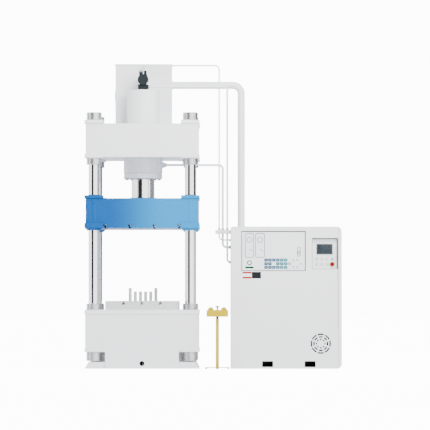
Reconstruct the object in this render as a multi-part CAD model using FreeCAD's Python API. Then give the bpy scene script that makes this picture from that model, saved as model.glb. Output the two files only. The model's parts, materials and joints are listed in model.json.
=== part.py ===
import FreeCAD, Part
import math
import os

# A four-column hydraulic press, the power unit beside it and its two-hand control stand.
# Millimetres. Origin on the floor at the press axis, +X towards the power unit, +Y to the back.

Vector = FreeCAD.Vector
up = Vector(0, 0, 1)
back = Vector(0, 1, 0)
right = Vector(1, 0, 0)

# How far a cutter runs past a face, and how close a face lies to be picked
over = 1.0
pick = 0.1

# Press frame
frame_width = 1650.0
frame_depth = 1400.0
column_diameter = 160.0
column_inset = 120.0
bore_gap = 0.5
boss_wall = 40.0
pad_overhang = 16.0
beam_wall = 50.0
nut_diameter = 220.0
nut_chamfer = 6.0
nut_slot_width = 20.0
nut_slot_depth = 11.0
column_end_recess = 6.0
column_end_chamfer = 5.0

# Bed and bolster
bed_bottom = 245.0
bed_body_height = 552.0
bed_side_overhang = 5.0
bed_plate_thickness = 63.0
bed_plate_overhang = 9.0
bed_pad_height = 45.0
bed_rib_offset = 300.0
bed_floor_thickness = 20.0
box_nut_gap = 58.5
foot_height = 98.0
foot_overhang = 8.0
foot_slope = 57.0
foot_front_setback = 16.0
foot_length = 364.0
foot_web_thickness = 40.0
foot_web_gap = 5.0
foot_web_side = 20.0
anchor_hole_radius = 18.0
anchor_from_end = 55.0
anchor_from_box = 103.5
service_hole_radius = 36.5
service_hole_height = 76.0
bolster_thickness = 130.0
lower_nut_height = 133.0
bed_nut_height = 90.0

# T-slots of the bolster and the slide
slot_neck = 28.0
slot_head_width = 48.0
slot_head_height = 20.0
slot_depth = 56.0
slide_slot_depth = 50.0
bolster_slot_pitch = 270.0
middle_slot_stop = 80.0
slide_slot_inset = 165.0

# Ejector
pin_diameter = 48.0
pin_pitch = 76.0
pin_count = 6
pin_gap = 0.3
pin_chamfer = 2.0
pin_plate_gap = 2.0
inner_pin_rise = 140.0
outer_pin_rise = 193.0
ejector_down = 195.0
ejector_up = 60.0
ejector_plate_width = 460.0
ejector_plate_depth = 160.0
ejector_plate_thickness = 50.0
ejector_plate_headroom = 7.0
ejector_bore = 150.0
ejector_wall = 25.0
ejector_rod_diameter = 90.0
ejector_piston_height = 60.0
ejector_end = 30.0
ejector_flange_diameter = 280.0
ejector_flange_height = 30.0
travel_reserve = 3.0
running_gap = 0.1

# Slide
daylight = 1065.0
slide_height = 436.0
slide_wall = 40.0
slide_plate_thickness = 77.0
slide_rib_offset = 330.0
slide_pad_height = 74.0
bush_wall = 15.0
bush_length = 130.0
guide_wall = 28.0
cap_height = 42.0
wiper_height = 34.0
wiper_wall = 20.0
wiper_gap = 1.0
slide_down = 540.0

# Crown
slide_to_crown = 601.0
crown_height = 492.0
crown_boss_wall = 80.0
crown_nut_height = 88.0
crown_pad_drop = 19.0
crown_pad_side = 43.0
crown_pad_chamfer = 14.0
top_pad_height = 51.0
upper_nut_height = 114.0

# Main cylinder
rod_diameter = 340.0
rod_seat_depth = 150.0
rod_socket_wall = 50.0
cylinder_bore = 400.0
cylinder_wall = 40.0
cylinder_above_crown = 527.0
cylinder_head = 60.0
cylinder_flange_diameter = 575.0
cylinder_flange_height = 212.0
gland_diameter = 570.0
gland_height = 77.0
gland_chamfer = 6.0
gland_groove = 8.0
gland_groove_depth = 12.0
gland_spigot = 100.0
piston_height = 150.0
piston_stand_off = 107.0
lock_ring_wall = 50.0
prefill_port_radius = 50.0
port_boss_radius = 45.0
port_boss_length = 28.0
port_radius = 12.0
port_from_flange_top = 88.0

# Prefill valve
valve_width = 150.0
valve_height = 84.0
valve_disc_diameter = 160.0
valve_barrel_diameter = 130.0
valve_disc_thickness = 24.0
valve_half_depth = 85.0
valve_axis_rise = 157.0
valve_neck_side = 104.0
valve_cover_width = 120.0
valve_cover_depth = 91.0
valve_cover_rise = 76.0
solenoid_rise = 297.0
solenoid_diameters = (56.0, 42.0)
solenoid_places = (-32.0, 31.0)
solenoid_notch = 24.0
solenoid_notch_width = 12.0
solenoid_cap_height = 14.0
solenoid_cap_inset = 6.0
suction_diameter = 120.0
suction_flange_diameter = 180.0
suction_flange_thickness = 15.0

# Oil tank on the crown
tank_width = 840.0
tank_depth = 410.0
tank_height = 941.0
tank_front = 280.0
tank_wall = 6.0

# Pipes
return_pipe_diameter = 108.0
return_pipe_wall = 8.0
return_pipe_bend = 125.0
return_pipe_height = 636.0
return_pipe_depth = 480.0
return_pipe_from_side = 160.0
return_collar_diameter = 126.0
return_collar_length = 34.0
return_flange_diameter = 170.0
return_flange_thickness = 16.0
pilot_pipe_diameter = 22.0
pilot_pipe_below_top = 40.0
pilot_pipe_start = 10.0
pilot_pipe_depth = 60.0
pilot_pipe_from_side = 170.0
pilot_entry_height = 1892.0
pressure_pipe_diameter = 30.0
pressure_pipe_rise = 53.0
pressure_pipe_depth = -55.0
pressure_pipe_from_side = 50.0
pressure_entry_height = 1563.0
lift_pipe_diameter = 34.0
lift_pipe_from_side = 117.0
lift_entry_height = 1785.0
small_pipe_wall = 4.0
small_bend = 60.0
tight_bend = 45.0
bracket_length = 229.0
bracket_height = 54.0
bracket_bottom = 1984.0
bracket_half_depth = 95.0
bracket_thickness = 8.0

# Power unit
unit_gap = 473.0
unit_width = 1619.0
unit_depth = 1400.0
unit_height = 2075.0
sheet = 3.0
panel_gap = 5.0
unit_left_radius = 20.0
unit_right_radius = 75.0
grip_width = 45.0
grip_depth = 12.0
grip_low = 610.0
grip_high = 1910.0
skid_height = 125.0
skid_beam = 80.0
pocket_width = 159.0
pocket_height = 86.0
pocket_floor = 25.0
pocket_wall = 6.0
pocket_pitch = 620.0
pocket_from_left = 535.0
door_from_left = 162.0
door_width = 918.0
door_low = 1435.0
door_height = 562.0
door_return = 18.0
door_recess = 3.0
hinge_inset = 8.0
hinge_pin_radius = 3.0
hinge_pin_gap = 0.3
hinge_pin_bite = 10.0
electrical_depth = 260.0
electrical_margin = 8.0
handle_from_door_right = 87.0
handle_low = 1645.0
handle_height = 122.0
handle_width = 36.0
handle_stand = 9.0
handle_lever_width = 20.0
handle_shaft_diameter = 14.0
handle_shaft_gap = 0.3
handle_shaft_tail = 9.0
latch_setback = 9.0
operator_from_left = 1187.0
operator_width = 361.0
operator_low = 1456.0
operator_height = 437.0
operator_recess = 46.0
screen_width = 235.0
screen_height = 151.0
screen_from_left = 64.0
screen_from_bottom = 214.0
screen_front = 12.0
screen_chamfer = 3.0
screen_body_depth = 34.0
screen_body_inset = 8.0
button_columns = (70.0, 144.0, 218.0, 293.0)
button_rows = (147.0, 71.0)
button_diameter = 27.0
button_gap = 0.4
button_bezel_diameter = 36.0
button_bezel_height = 6.0
button_front = 13.0
button_tail = 22.0
button_fillet = 2.0
key_grip_width = 8.0
key_grip_height = 10.0
key_grip_inset = 2.0
button_flange_diameter = 33.0
button_flange_thickness = 3.0
button_flange_gap = 0.3
stop_diameter = 58.0
stop_head_height = 20.0
stop_rim_inset = 3.0
stop_rim_height = 4.0
stop_crown = 8.0
stop_stem_diameter = 22.0
stop_travel = 6.0
stop_clearance = 2.0
fan_from_left = 1311.0
fan_height = 366.0
fan_ring_radii = (137.0, 99.0, 61.0)
fan_slot_spans = (37.0, 32.0, 22.0)
fan_slot_width = 22.0
fan_slots = 8
fan_frame_side = 400.0
fan_frame_depth = 70.0
fan_bore_diameter = 336.0
fan_tip_gap = 11.0
fan_hub_diameter = 90.0
fan_blades = 7
fan_blade_root = 6.0
fan_strut_bite = 4.0
fan_blade_thickness = 4.0
fan_blade_chord = 46.0
fan_blade_tilt = 35.0
fan_shaft_diameter = 14.0
fan_strut_width = 18.0
fan_strut_depth = 10.0
motor_diameter = 320.0
motor_length = 520.0
motor_from_left = 760.0
motor_axis_height = 340.0
motor_foot_width = 60.0
motor_foot_thickness = 20.0
terminal_box_start = 208.0
terminal_box_length = 156.0
terminal_box_width = 180.0
terminal_box_rise = 60.0
pump_diameter = 190.0
pump_length = 260.0
bell_diameter = 250.0
bell_length = 150.0
device_rows = 2
device_columns = 8
device_width = 58.0
device_height = 96.0
device_depth = 74.0
device_pitch = 96.0

# Two-hand control stand
stand_from_press = 275.0
stand_front_gap = 100.0
stand_foot_height = 14.0
stand_foot_diameter = 34.0
stand_bar_width = 50.0
stand_bar_thickness = 12.0
stand_base_width = 356.0
stand_base_depth = 400.0
stand_post_side = 50.0
stand_post_wall = 4.0
stand_post_top = 732.0
stand_collar_height = 26.0
stand_collar_side = 42.0
stand_box_width = 317.0
stand_box_depth = 160.0
stand_box_height = 99.0
stand_box_radius = 10.0
stand_box_wall = 3.0
shroud_pitch = 191.0
shroud_radius = 43.0
shroud_depth = 120.0
palm_diameter = 44.0
palm_height = 13.0
palm_stem_diameter = 22.0
palm_stem_length = 20.0
palm_flange_lip = 4.0
palm_edge = 6.0
palm_rise = 7.0
stand_stop_rise = 60.0

# Places worked out from the sizes above
column_x = frame_width / 2 - column_inset
column_y = frame_depth / 2 - column_inset
column_radius = column_diameter / 2
column_places = {
    "front_left": (-column_x, -column_y),
    "front_right": (column_x, -column_y),
    "rear_left": (-column_x, column_y),
    "rear_right": (column_x, column_y),
}
pad_side = 2 * (column_inset + pad_overhang)
bed_body_top = bed_bottom + bed_body_height
bed_top = bed_body_top + bed_plate_thickness
bolster_top = bed_top + bolster_thickness
slide_bottom = bolster_top + daylight
slide_top = slide_bottom + slide_height
crown_bottom = slide_top + slide_to_crown
crown_top = crown_bottom + crown_height
nut_top = crown_top + top_pad_height + upper_nut_height
centre_box_width = 2 * (column_x - nut_diameter / 2 - box_nut_gap)
bed_width = frame_width + 2 * bed_side_overhang
cylinder_diameter = cylinder_bore + 2 * cylinder_wall
cylinder_top = crown_top + cylinder_above_crown
cylinder_bottom = crown_bottom - cylinder_flange_height
piston_bottom = cylinder_bottom + gland_spigot + slide_down + travel_reserve + piston_stand_off
tank_top = crown_top + tank_height
unit_left = frame_width / 2 + unit_gap
unit_right = unit_left + unit_width
unit_front = -unit_depth / 2
unit_back = unit_depth / 2
door_left = unit_left + door_from_left
operator_left = unit_left + operator_from_left
operator_back = unit_front + operator_recess
hinge_x = door_left + hinge_inset
hinge_y = unit_front + door_recess + hinge_inset
door_high = door_low + door_height
fan_x = unit_left + fan_from_left
handle_x = door_left + door_width - handle_from_door_right
handle_pivot = handle_low + handle_height - handle_width / 2
stand_x = frame_width / 2 + stand_from_press
stand_y = -frame_depth / 2 - stand_front_gap
stand_box_low = stand_post_top + stand_collar_height
stand_box_top = stand_box_low + stand_box_height
ejector_plate_low = bed_body_top - ejector_up - ejector_plate_headroom - ejector_plate_thickness


def block(low, high):
    size = [b - a for a, b in zip(low, high)]
    return Part.makeBox(*size, Vector(*low))


def centred(width, depth, low, high, x=0.0, y=0.0):
    return block((x - width / 2, y - depth / 2, low), (x + width / 2, y + depth / 2, high))


def upright(radius, low, high, x=0.0, y=0.0):
    return Part.makeCylinder(radius, high - low, Vector(x, y, low), up)


def through(radius, front, rear, x, z):
    return Part.makeCylinder(radius, rear - front, Vector(x, front, z), back)


def sideways(radius, left, far, y, z):
    return Part.makeCylinder(radius, far - left, Vector(left, y, z), right)


def turned(profile, x=0.0, y=0.0):
    points = [Vector(radius, 0, height) for radius, height in profile]
    face = Part.Face(Part.makePolygon(points + points[:1]))
    solid = face.revolve(Vector(0, 0, 0), up, 360)
    solid.translate(Vector(x, y, 0))
    return solid


def fused(shapes):
    return shapes[0].multiFuse(shapes[1:]).removeSplitter()


def at_columns(make):
    return Part.makeCompound([make(x, y) for x, y in column_places.values()])


def route(points, bend):
    # straight runs joined by tangent arcs
    edges = []
    last = points[0]
    for before, corner, after in zip(points, points[1:], points[2:]):
        into = (corner - before).normalize()
        out = (after - corner).normalize()
        half = into.getAngle(out) / 2
        start = corner - into * bend * math.tan(half)
        end = corner + out * bend * math.tan(half)
        middle = corner + (out - into).normalize() * (bend / math.cos(half) - bend)
        edges.append(Part.LineSegment(last, start).toShape())
        edges.append(Part.Arc(start, middle, end).toShape())
        last = end
    edges.append(Part.LineSegment(last, points[-1]).toShape())
    return Part.Wire(edges)


def swept(points, radius, bend):
    path = route(points, bend)
    along = points[1] - points[0]
    circle = Part.Wire(Part.makeCircle(radius, points[0], along))
    return path.makePipeShell([circle], True, False)


def tube(points, diameter, wall, bend):
    return swept(points, diameter / 2, bend).cut(swept(points, diameter / 2 - wall, bend))


def slot_cutter(x, low_y, high_y, face, depth, sign):
    # a T-slot along Y that opens at height face; sign is 1 when it opens upwards
    neck_end = face - sign * depth
    head_end = neck_end + sign * slot_head_height
    neck = centred(slot_neck, high_y - low_y, min(face, neck_end), max(face, neck_end))
    head = centred(slot_head_width, high_y - low_y, min(neck_end, head_end), max(neck_end, head_end))
    cutter = neck.fuse(head)
    cutter.translate(Vector(x, (low_y + high_y) / 2, 0))
    return cutter


def pin_places():
    first = -(pin_count - 1) / 2
    return [(first + i) * pin_pitch for i in range(pin_count)]


# press frame

def lock_nut(low, high):
    def make(x, y):
        outer = nut_diameter / 2
        c = nut_chamfer
        profile = [(column_radius, low), (outer - c, low), (outer, low + c), (outer, high - c),
                   (outer - c, high), (column_radius, high)]
        nut = turned(profile, x, y)
        for i in range(4):
            slot = block((outer - nut_slot_depth, -nut_slot_width / 2, low - over),
                         (outer + over, nut_slot_width / 2, high + over))
            slot.rotate(Vector(0, 0, 0), up, 45 + 90 * i)
            slot.translate(Vector(x, y, 0))
            nut = nut.cut(slot)
        return nut
    return at_columns(make)


def column(x, y):
    low = bed_bottom - lower_nut_height + column_end_recess
    high = nut_top - column_end_recess
    r = column_radius
    c = column_end_chamfer
    return turned([(0, low), (r - c, low), (r, low + c), (r, high - c), (r - c, high), (0, high)], x, y)


def hollow_beam(width, depth, low, high, wall, floor, roof):
    outer = centred(width, depth, low, high)
    return outer.cut(centred(width - 2 * wall, depth - 2 * wall, low + floor, high - roof))


def boss_tubes(outer_radius, low, high):
    return [upright(outer_radius, low, high, x, y) for x, y in column_places.values()]


def bore_all(shape, radius, low, high):
    return shape.cut(Part.makeCompound(boss_tubes(radius, low - over, high + over)))


def corner_pads(low, high, chamfer_low=0.0):
    pads = []
    for x, y in column_places.values():
        pad = centred(pad_side, pad_side, low, high, x, y)
        if chamfer_low:
            edges = [e for e in pad.Edges if e.BoundBox.ZMax < low + pick]
            pad = pad.makeChamfer(chamfer_low, edges)
        pads.append(pad)
    return pads


def bed():
    wall = beam_wall
    body = hollow_beam(bed_width, frame_depth, bed_bottom, bed_body_top, wall, wall, 0)
    plate = centred(bed_width + 2 * bed_plate_overhang, frame_depth + 2 * bed_plate_overhang,
                    bed_body_top, bed_top)
    lower = hollow_beam(centre_box_width, frame_depth, 0, bed_bottom, wall, bed_floor_thickness, 0)
    ribs = []
    for side in (-1, 1):
        x = side * (centre_box_width / 2 - wall / 2)
        ribs.append(centred(wall, frame_depth - wall, bed_bottom, bed_body_top, x))
        y = side * bed_rib_offset
        ribs.append(centred(centre_box_width - wall, wall, bed_bottom, bed_body_top, 0, y))
    bosses = boss_tubes(column_radius + boss_wall, bed_bottom, bed_body_top)
    shape = fused([body, plate, lower] + ribs + bosses + corner_pads(bed_bottom, bed_bottom + bed_pad_height))
    shape = bore_all(shape, column_radius + bore_gap, bed_bottom, bed_top)
    shape = shape.cut(upright(ejector_bore / 2 + ejector_wall, bed_bottom - over, bed_bottom + wall + over))
    for x in pin_places():
        shape = shape.cut(upright(pin_diameter / 2 + pin_plate_gap, bed_body_top - over, bed_top + over, x))
    front = -frame_depth / 2
    return shape.cut(through(service_hole_radius, front - over, front + wall + over, 0, service_hole_height))


def corner_feet():
    # a foot block with a sloped outer side and a web up to the bed, at each corner
    feet = []
    outer = bed_width / 2 + foot_overhang
    inner = centre_box_width / 2
    front = frame_depth / 2 - foot_front_setback
    web_front = column_y - nut_diameter / 2 - foot_web_gap
    points = [Vector(inner, 0, 0), Vector(outer, 0, 0), Vector(outer - foot_slope, 0, foot_height),
              Vector(inner, 0, foot_height)]
    section = Part.Face(Part.makePolygon(points + points[:1]))
    section.translate(Vector(0, front - foot_length, 0))
    foot = section.extrude(Vector(0, foot_length, 0))
    web = block((inner, web_front - foot_web_thickness, foot_height),
                (outer - foot_slope - foot_web_side, web_front, bed_bottom))
    hole = upright(anchor_hole_radius, -over, foot_height + over, inner + anchor_from_box,
                   front - foot_length + anchor_from_end)
    quarter = foot.fuse(web).cut(hole)
    for mirror_x in (False, True):
        for mirror_y in (False, True):
            shape = quarter
            if mirror_x:
                shape = shape.mirror(Vector(0, 0, 0), right)
            if mirror_y:
                shape = shape.mirror(Vector(0, 0, 0), back)
            feet.append(shape)
    return Part.makeCompound(feet)


def bolster_plate():
    shape = centred(centre_box_width, frame_depth, bed_top, bolster_top)
    end = frame_depth / 2 + 1
    for x in (-bolster_slot_pitch, bolster_slot_pitch):
        shape = shape.cut(slot_cutter(x, -end, end, bolster_top, slot_depth, 1))
    shape = shape.cut(slot_cutter(0, -end, -middle_slot_stop, bolster_top, slot_depth, 1))
    shape = shape.cut(slot_cutter(0, middle_slot_stop, end, bolster_top, slot_depth, 1))
    for x in pin_places():
        shape = shape.cut(upright(pin_diameter / 2 + pin_gap, bed_top - over, bolster_top + over, x))
    return shape


def crown():
    wall = beam_wall
    body = hollow_beam(frame_width, frame_depth, crown_bottom, crown_top, wall, wall, wall)
    bosses = boss_tubes(column_radius + boss_wall, crown_bottom, crown_top)
    centre = upright(cylinder_diameter / 2 + crown_boss_wall, crown_bottom, crown_top)
    pads = corner_pads(crown_bottom - crown_pad_drop, crown_bottom + crown_pad_side, crown_pad_chamfer)
    pads += corner_pads(crown_top, crown_top + top_pad_height)
    shape = fused([body, centre] + bosses + pads)
    shape = bore_all(shape, column_radius + bore_gap, crown_bottom - crown_pad_drop,
                     crown_top + top_pad_height)
    shape = shape.cut(upright(cylinder_diameter / 2 + bore_gap, crown_bottom - over, crown_top + over))
    ring = cylinder_diameter / 2 + lock_ring_wall + bore_gap
    return shape.cut(upright(ring, crown_top - wall, crown_top + over))


# main cylinder

def cylinder_body():
    outer = cylinder_diameter / 2
    bore = cylinder_bore / 2
    flange = cylinder_flange_diameter / 2
    profile = [(bore, cylinder_bottom), (flange, cylinder_bottom), (flange, crown_bottom),
               (outer, crown_bottom),
               (outer, cylinder_top), (prefill_port_radius, cylinder_top),
               (prefill_port_radius, cylinder_top - cylinder_head), (bore, cylinder_top - cylinder_head)]
    z = crown_bottom - port_from_flange_top
    boss = sideways(port_boss_radius, bore + cylinder_wall, flange + port_boss_length, 0, z)
    port = sideways(port_radius, 0, flange + port_boss_length + over, 0, z)
    return turned(profile).fuse(boss).cut(port)


def cylinder_lock_ring():
    outer = cylinder_diameter / 2 + lock_ring_wall
    return upright(outer, crown_top - beam_wall, crown_top).cut(
        upright(cylinder_diameter / 2, crown_top - beam_wall - over, crown_top + over))


def gland_ring():
    inner = rod_diameter / 2 + running_gap
    outer = gland_diameter / 2
    top = cylinder_bottom - gland_groove
    spigot = cylinder_bore / 2
    return turned([(inner, top - gland_height), (outer - gland_chamfer, top - gland_height),
                   (outer, top - gland_height + gland_chamfer),
                   (outer, top), (outer - gland_groove_depth, top),
                   (outer - gland_groove_depth, cylinder_bottom),
                   (spigot, cylinder_bottom), (spigot, cylinder_bottom + gland_spigot),
                   (inner, cylinder_bottom + gland_spigot)])


def piston_rod():
    rod = rod_diameter / 2
    piston = cylinder_bore / 2 - running_gap
    return turned([(0, slide_top - rod_seat_depth), (rod, slide_top - rod_seat_depth), (rod, piston_bottom),
                   (piston, piston_bottom), (piston, piston_bottom + piston_height),
                   (0, piston_bottom + piston_height)])


def prefill_valve():
    half = valve_half_depth
    z = cylinder_top + valve_axis_rise
    base = centred(valve_width, valve_width, cylinder_top, cylinder_top + valve_height)
    barrel = through(valve_barrel_diameter / 2, -half, half, 0, z)
    disc = through(valve_disc_diameter / 2, -half - valve_disc_thickness, -half, 0, z)
    neck = centred(valve_neck_side, valve_neck_side, cylinder_top + valve_height, z)
    cover = centred(valve_cover_width, valve_cover_depth, z, z + valve_cover_rise)
    return fused([base, barrel, disc, neck, cover])


def prefill_solenoids():
    low = cylinder_top + valve_axis_rise + valve_cover_rise
    high = cylinder_top + solenoid_rise
    coils = []
    for diameter, x in zip(solenoid_diameters, solenoid_places):
        r = diameter / 2
        coils.append(turned([(0, low), (r, low), (r, high - solenoid_cap_height),
                             (r - solenoid_cap_inset, high), (0, high)], x))
    notch = centred(solenoid_notch_width, solenoid_diameters[0] + 2 * over, high - solenoid_notch,
                    high + over,
                    solenoid_places[0])
    return Part.makeCompound([coils[0].cut(notch), coils[1]])


def suction_pipe():
    z = cylinder_top + valve_axis_rise
    pipe = through(suction_diameter / 2, valve_half_depth, tank_front, 0, z)
    flange = through(suction_flange_diameter / 2, tank_front - suction_flange_thickness, tank_front, 0, z)
    return pipe.fuse(flange).cut(through(suction_diameter / 2 - return_pipe_wall, 0, tank_front + over, 0, z))


def oil_tank():
    x = tank_width / 2
    rear = tank_front + tank_depth
    t = tank_wall
    shell = block((-x, tank_front, crown_top), (x, rear, tank_top))
    shell = shell.cut(block((-x + t, tank_front + t, crown_top + t), (x - t, rear - t, tank_top - t)))
    z = crown_top + return_pipe_height
    shell = shell.cut(sideways(return_pipe_diameter / 2 - return_pipe_wall, x - t - over, x + over,
                               return_pipe_depth, z))
    z = cylinder_top + valve_axis_rise
    shell = shell.cut(through(suction_diameter / 2 - return_pipe_wall, tank_front - over,
                              tank_front + t + over, 0, z))
    z = tank_top - pilot_pipe_below_top
    hole = pilot_pipe_diameter / 2 - small_pipe_wall
    return shell.cut(through(hole, tank_front - over, tank_front + t + over, pilot_pipe_start, z))


# pipes

def return_pipe():
    x = unit_left + return_pipe_from_side
    y = return_pipe_depth
    z = crown_top + return_pipe_height
    r = return_pipe_diameter / 2
    start = tank_width / 2
    points = [Vector(start, y, z), Vector(x, y, z), Vector(x, y, unit_height)]
    outer = swept(points, r, return_pipe_bend)
    collar = Part.makeCone(return_collar_diameter / 2, r, return_collar_length, points[0], right)
    flange = upright(return_flange_diameter / 2, unit_height, unit_height + return_flange_thickness, x, y)
    return fused([outer, collar, flange]).cut(swept(points, r - return_pipe_wall, return_pipe_bend))


def pilot_pipe():
    x = unit_left - pilot_pipe_from_side
    y = pilot_pipe_depth
    z = tank_top - pilot_pipe_below_top
    points = [Vector(pilot_pipe_start, tank_front, z), Vector(pilot_pipe_start, y, z), Vector(x, y, z),
              Vector(x, y, pilot_entry_height), Vector(unit_left, y, pilot_entry_height)]
    return tube(points, pilot_pipe_diameter, small_pipe_wall, small_bend)


def pressure_pipe():
    x = unit_left - pressure_pipe_from_side
    y = pressure_pipe_depth
    z = cylinder_top + pressure_pipe_rise
    points = [Vector(valve_width / 2, y, z), Vector(x, y, z), Vector(x, y, pressure_entry_height),
              Vector(unit_left, y, pressure_entry_height)]
    return tube(points, pressure_pipe_diameter, small_pipe_wall, tight_bend)


def lift_pipe():
    x = unit_left - lift_pipe_from_side
    z = crown_bottom - port_from_flange_top
    start = cylinder_flange_diameter / 2 + port_boss_length
    points = [Vector(start, 0, z), Vector(x, 0, z), Vector(x, 0, lift_entry_height),
              Vector(unit_left, 0, lift_entry_height)]
    return tube(points, lift_pipe_diameter, small_pipe_wall, small_bend)


def pipe_runs():
    # where each small pipe passes the bracket: distance from the unit, depth, diameter
    return ((pilot_pipe_from_side, pilot_pipe_depth, pilot_pipe_diameter),
            (pressure_pipe_from_side, pressure_pipe_depth, pressure_pipe_diameter),
            (lift_pipe_from_side, 0.0, lift_pipe_diameter))


def pipe_bracket():
    low = bracket_bottom
    high = low + bracket_height
    t = bracket_thickness
    outer = block((unit_left - bracket_length, -bracket_half_depth, low),
                  (unit_left, bracket_half_depth, high))
    inner = block((unit_left - bracket_length + t, -bracket_half_depth + t, low - over),
                  (unit_left - t, bracket_half_depth - t, high - t))
    shape = outer.cut(inner)
    for from_side, y, diameter in pipe_runs():
        shape = shape.cut(upright(diameter / 2 + bore_gap, low, high + over, unit_left - from_side, y))
    return shape


# ejector

def ejector_cylinder_top():
    inner_low = bed_floor_thickness + ejector_end
    stroke = ejector_down + ejector_up + 2 * travel_reserve
    return inner_low + stroke + ejector_piston_height + ejector_end


def ejector_cylinder():
    outer = ejector_bore / 2 + ejector_wall
    top = ejector_cylinder_top()
    low = bed_floor_thickness
    rod = ejector_rod_diameter / 2 + running_gap
    bore = ejector_bore / 2
    flange = ejector_flange_diameter / 2
    return turned([(0, low), (outer, low), (outer, bed_bottom - ejector_flange_height),
                   (flange, bed_bottom - ejector_flange_height), (flange, bed_bottom), (outer, bed_bottom),
                   (outer, top), (rod, top), (rod, top - ejector_end), (bore, top - ejector_end),
                   (bore, low + ejector_end), (0, low + ejector_end)])


def ejector_rod():
    low = bed_floor_thickness + ejector_end + ejector_down + travel_reserve
    high = low + ejector_piston_height
    rod = ejector_rod_diameter / 2
    piston = ejector_bore / 2 - running_gap
    return turned([(0, low), (piston, low), (piston, high), (rod, high), (rod, ejector_plate_low),
                   (0, ejector_plate_low)])


def ejector_plate():
    top = ejector_plate_low + ejector_plate_thickness
    return centred(ejector_plate_width, ejector_plate_depth, ejector_plate_low, top)


def ejector_pins():
    low = ejector_plate_low + ejector_plate_thickness
    r = pin_diameter / 2
    places = pin_places()
    pins = []
    for x in places:
        rise = outer_pin_rise if abs(x) == max(places) else inner_pin_rise
        high = bolster_top + rise
        pins.append(turned([(0, low), (r, low), (r, high - pin_chamfer), (r - pin_chamfer, high), (0, high)],
                           x))
    return Part.makeCompound(pins)


# slide

def slide_beam():
    low = slide_bottom
    wall = slide_wall
    body = hollow_beam(frame_width, frame_depth, low, slide_top, wall, slide_plate_thickness, wall)
    tubes = boss_tubes(column_radius + bush_wall + guide_wall, low, slide_top)
    socket = upright(rod_diameter / 2 + rod_socket_wall, low, slide_top)
    ribs = []
    for side in (-1, 1):
        ribs.append(centred(wall, frame_depth - wall, low, slide_top, side * slide_rib_offset))
        ribs.append(centred(2 * slide_rib_offset, wall, low, slide_top, 0, side * slide_rib_offset))
    shape = fused([body, socket] + tubes + ribs + corner_pads(low, low + slide_pad_height))
    shape = bore_all(shape, column_radius + bush_wall, low, slide_top)
    shape = shape.cut(upright(rod_diameter / 2, slide_top - rod_seat_depth, slide_top + over))
    end = frame_depth / 2 + 1
    outer_slot = column_x - slide_slot_inset
    for share in (-1, -1 / 3, 1 / 3, 1):
        shape = shape.cut(slot_cutter(outer_slot * share, -end, end, low, slide_slot_depth, -1))
    return shape


def guide_bushes():
    bushes = []
    for low in (slide_bottom, slide_top - bush_length):
        for x, y in column_places.values():
            bush = upright(column_radius + bush_wall, low, low + bush_length, x, y)
            bushes.append(bush.cut(upright(column_radius + running_gap, low - over, low + bush_length + over,
                                           x, y)))
    return Part.makeCompound(bushes)


def bush_caps():
    # square covers on top of the slide and round wipers under it
    caps = []
    inner = column_radius + wiper_gap
    for x, y in column_places.values():
        cover = centred(pad_side, pad_side, slide_top, slide_top + cap_height, x, y)
        caps.append(cover.cut(upright(inner, slide_top - over, slide_top + cap_height + over, x, y)))
        low = slide_bottom - wiper_height
        caps.append(turned([(inner, low), (column_radius + wiper_wall, low), (pad_side / 2, slide_bottom),
                            (inner, slide_bottom)], x, y))
    return Part.makeCompound(caps)


# power unit

def unit_outline(inset):
    # front view of the cover, with its corner radii, drawn in the plane y = 0
    left = unit_left + inset
    far = unit_right - inset
    low = inset
    high = unit_height - inset
    r = unit_left_radius - inset
    s = unit_right_radius - inset
    d = math.sqrt(0.5)
    a = [Vector(left, 0, low), Vector(left, 0, high - r), Vector(left + r, 0, high), Vector(far - s, 0, high),
         Vector(far, 0, high - s), Vector(far, 0, low + s), Vector(far - s, 0, low)]
    mid_left = Vector(left + r * (1 - d), 0, high - r * (1 - d))
    mid_high = Vector(far - s * (1 - d), 0, high - s * (1 - d))
    mid_low = Vector(far - s * (1 - d), 0, low + s * (1 - d))
    return Part.Face(Part.Wire([
        Part.LineSegment(a[0], a[1]).toShape(), Part.Arc(a[1], mid_left, a[2]).toShape(),
        Part.LineSegment(a[2], a[3]).toShape(), Part.Arc(a[3], mid_high, a[4]).toShape(),
        Part.LineSegment(a[4], a[5]).toShape(), Part.Arc(a[5], mid_low, a[6]).toShape(),
        Part.LineSegment(a[6], a[0]).toShape()]))


def outline_solid(inset, front, rear):
    face = unit_outline(inset)
    face.translate(Vector(0, front, 0))
    return face.extrude(Vector(0, rear - front, 0))


def grip_recess(grow):
    return block((unit_right - grip_width - grow, unit_front - over, grip_low - grow),
                 (unit_right + over, unit_front + grip_depth + grow, grip_high + grow))


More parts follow.
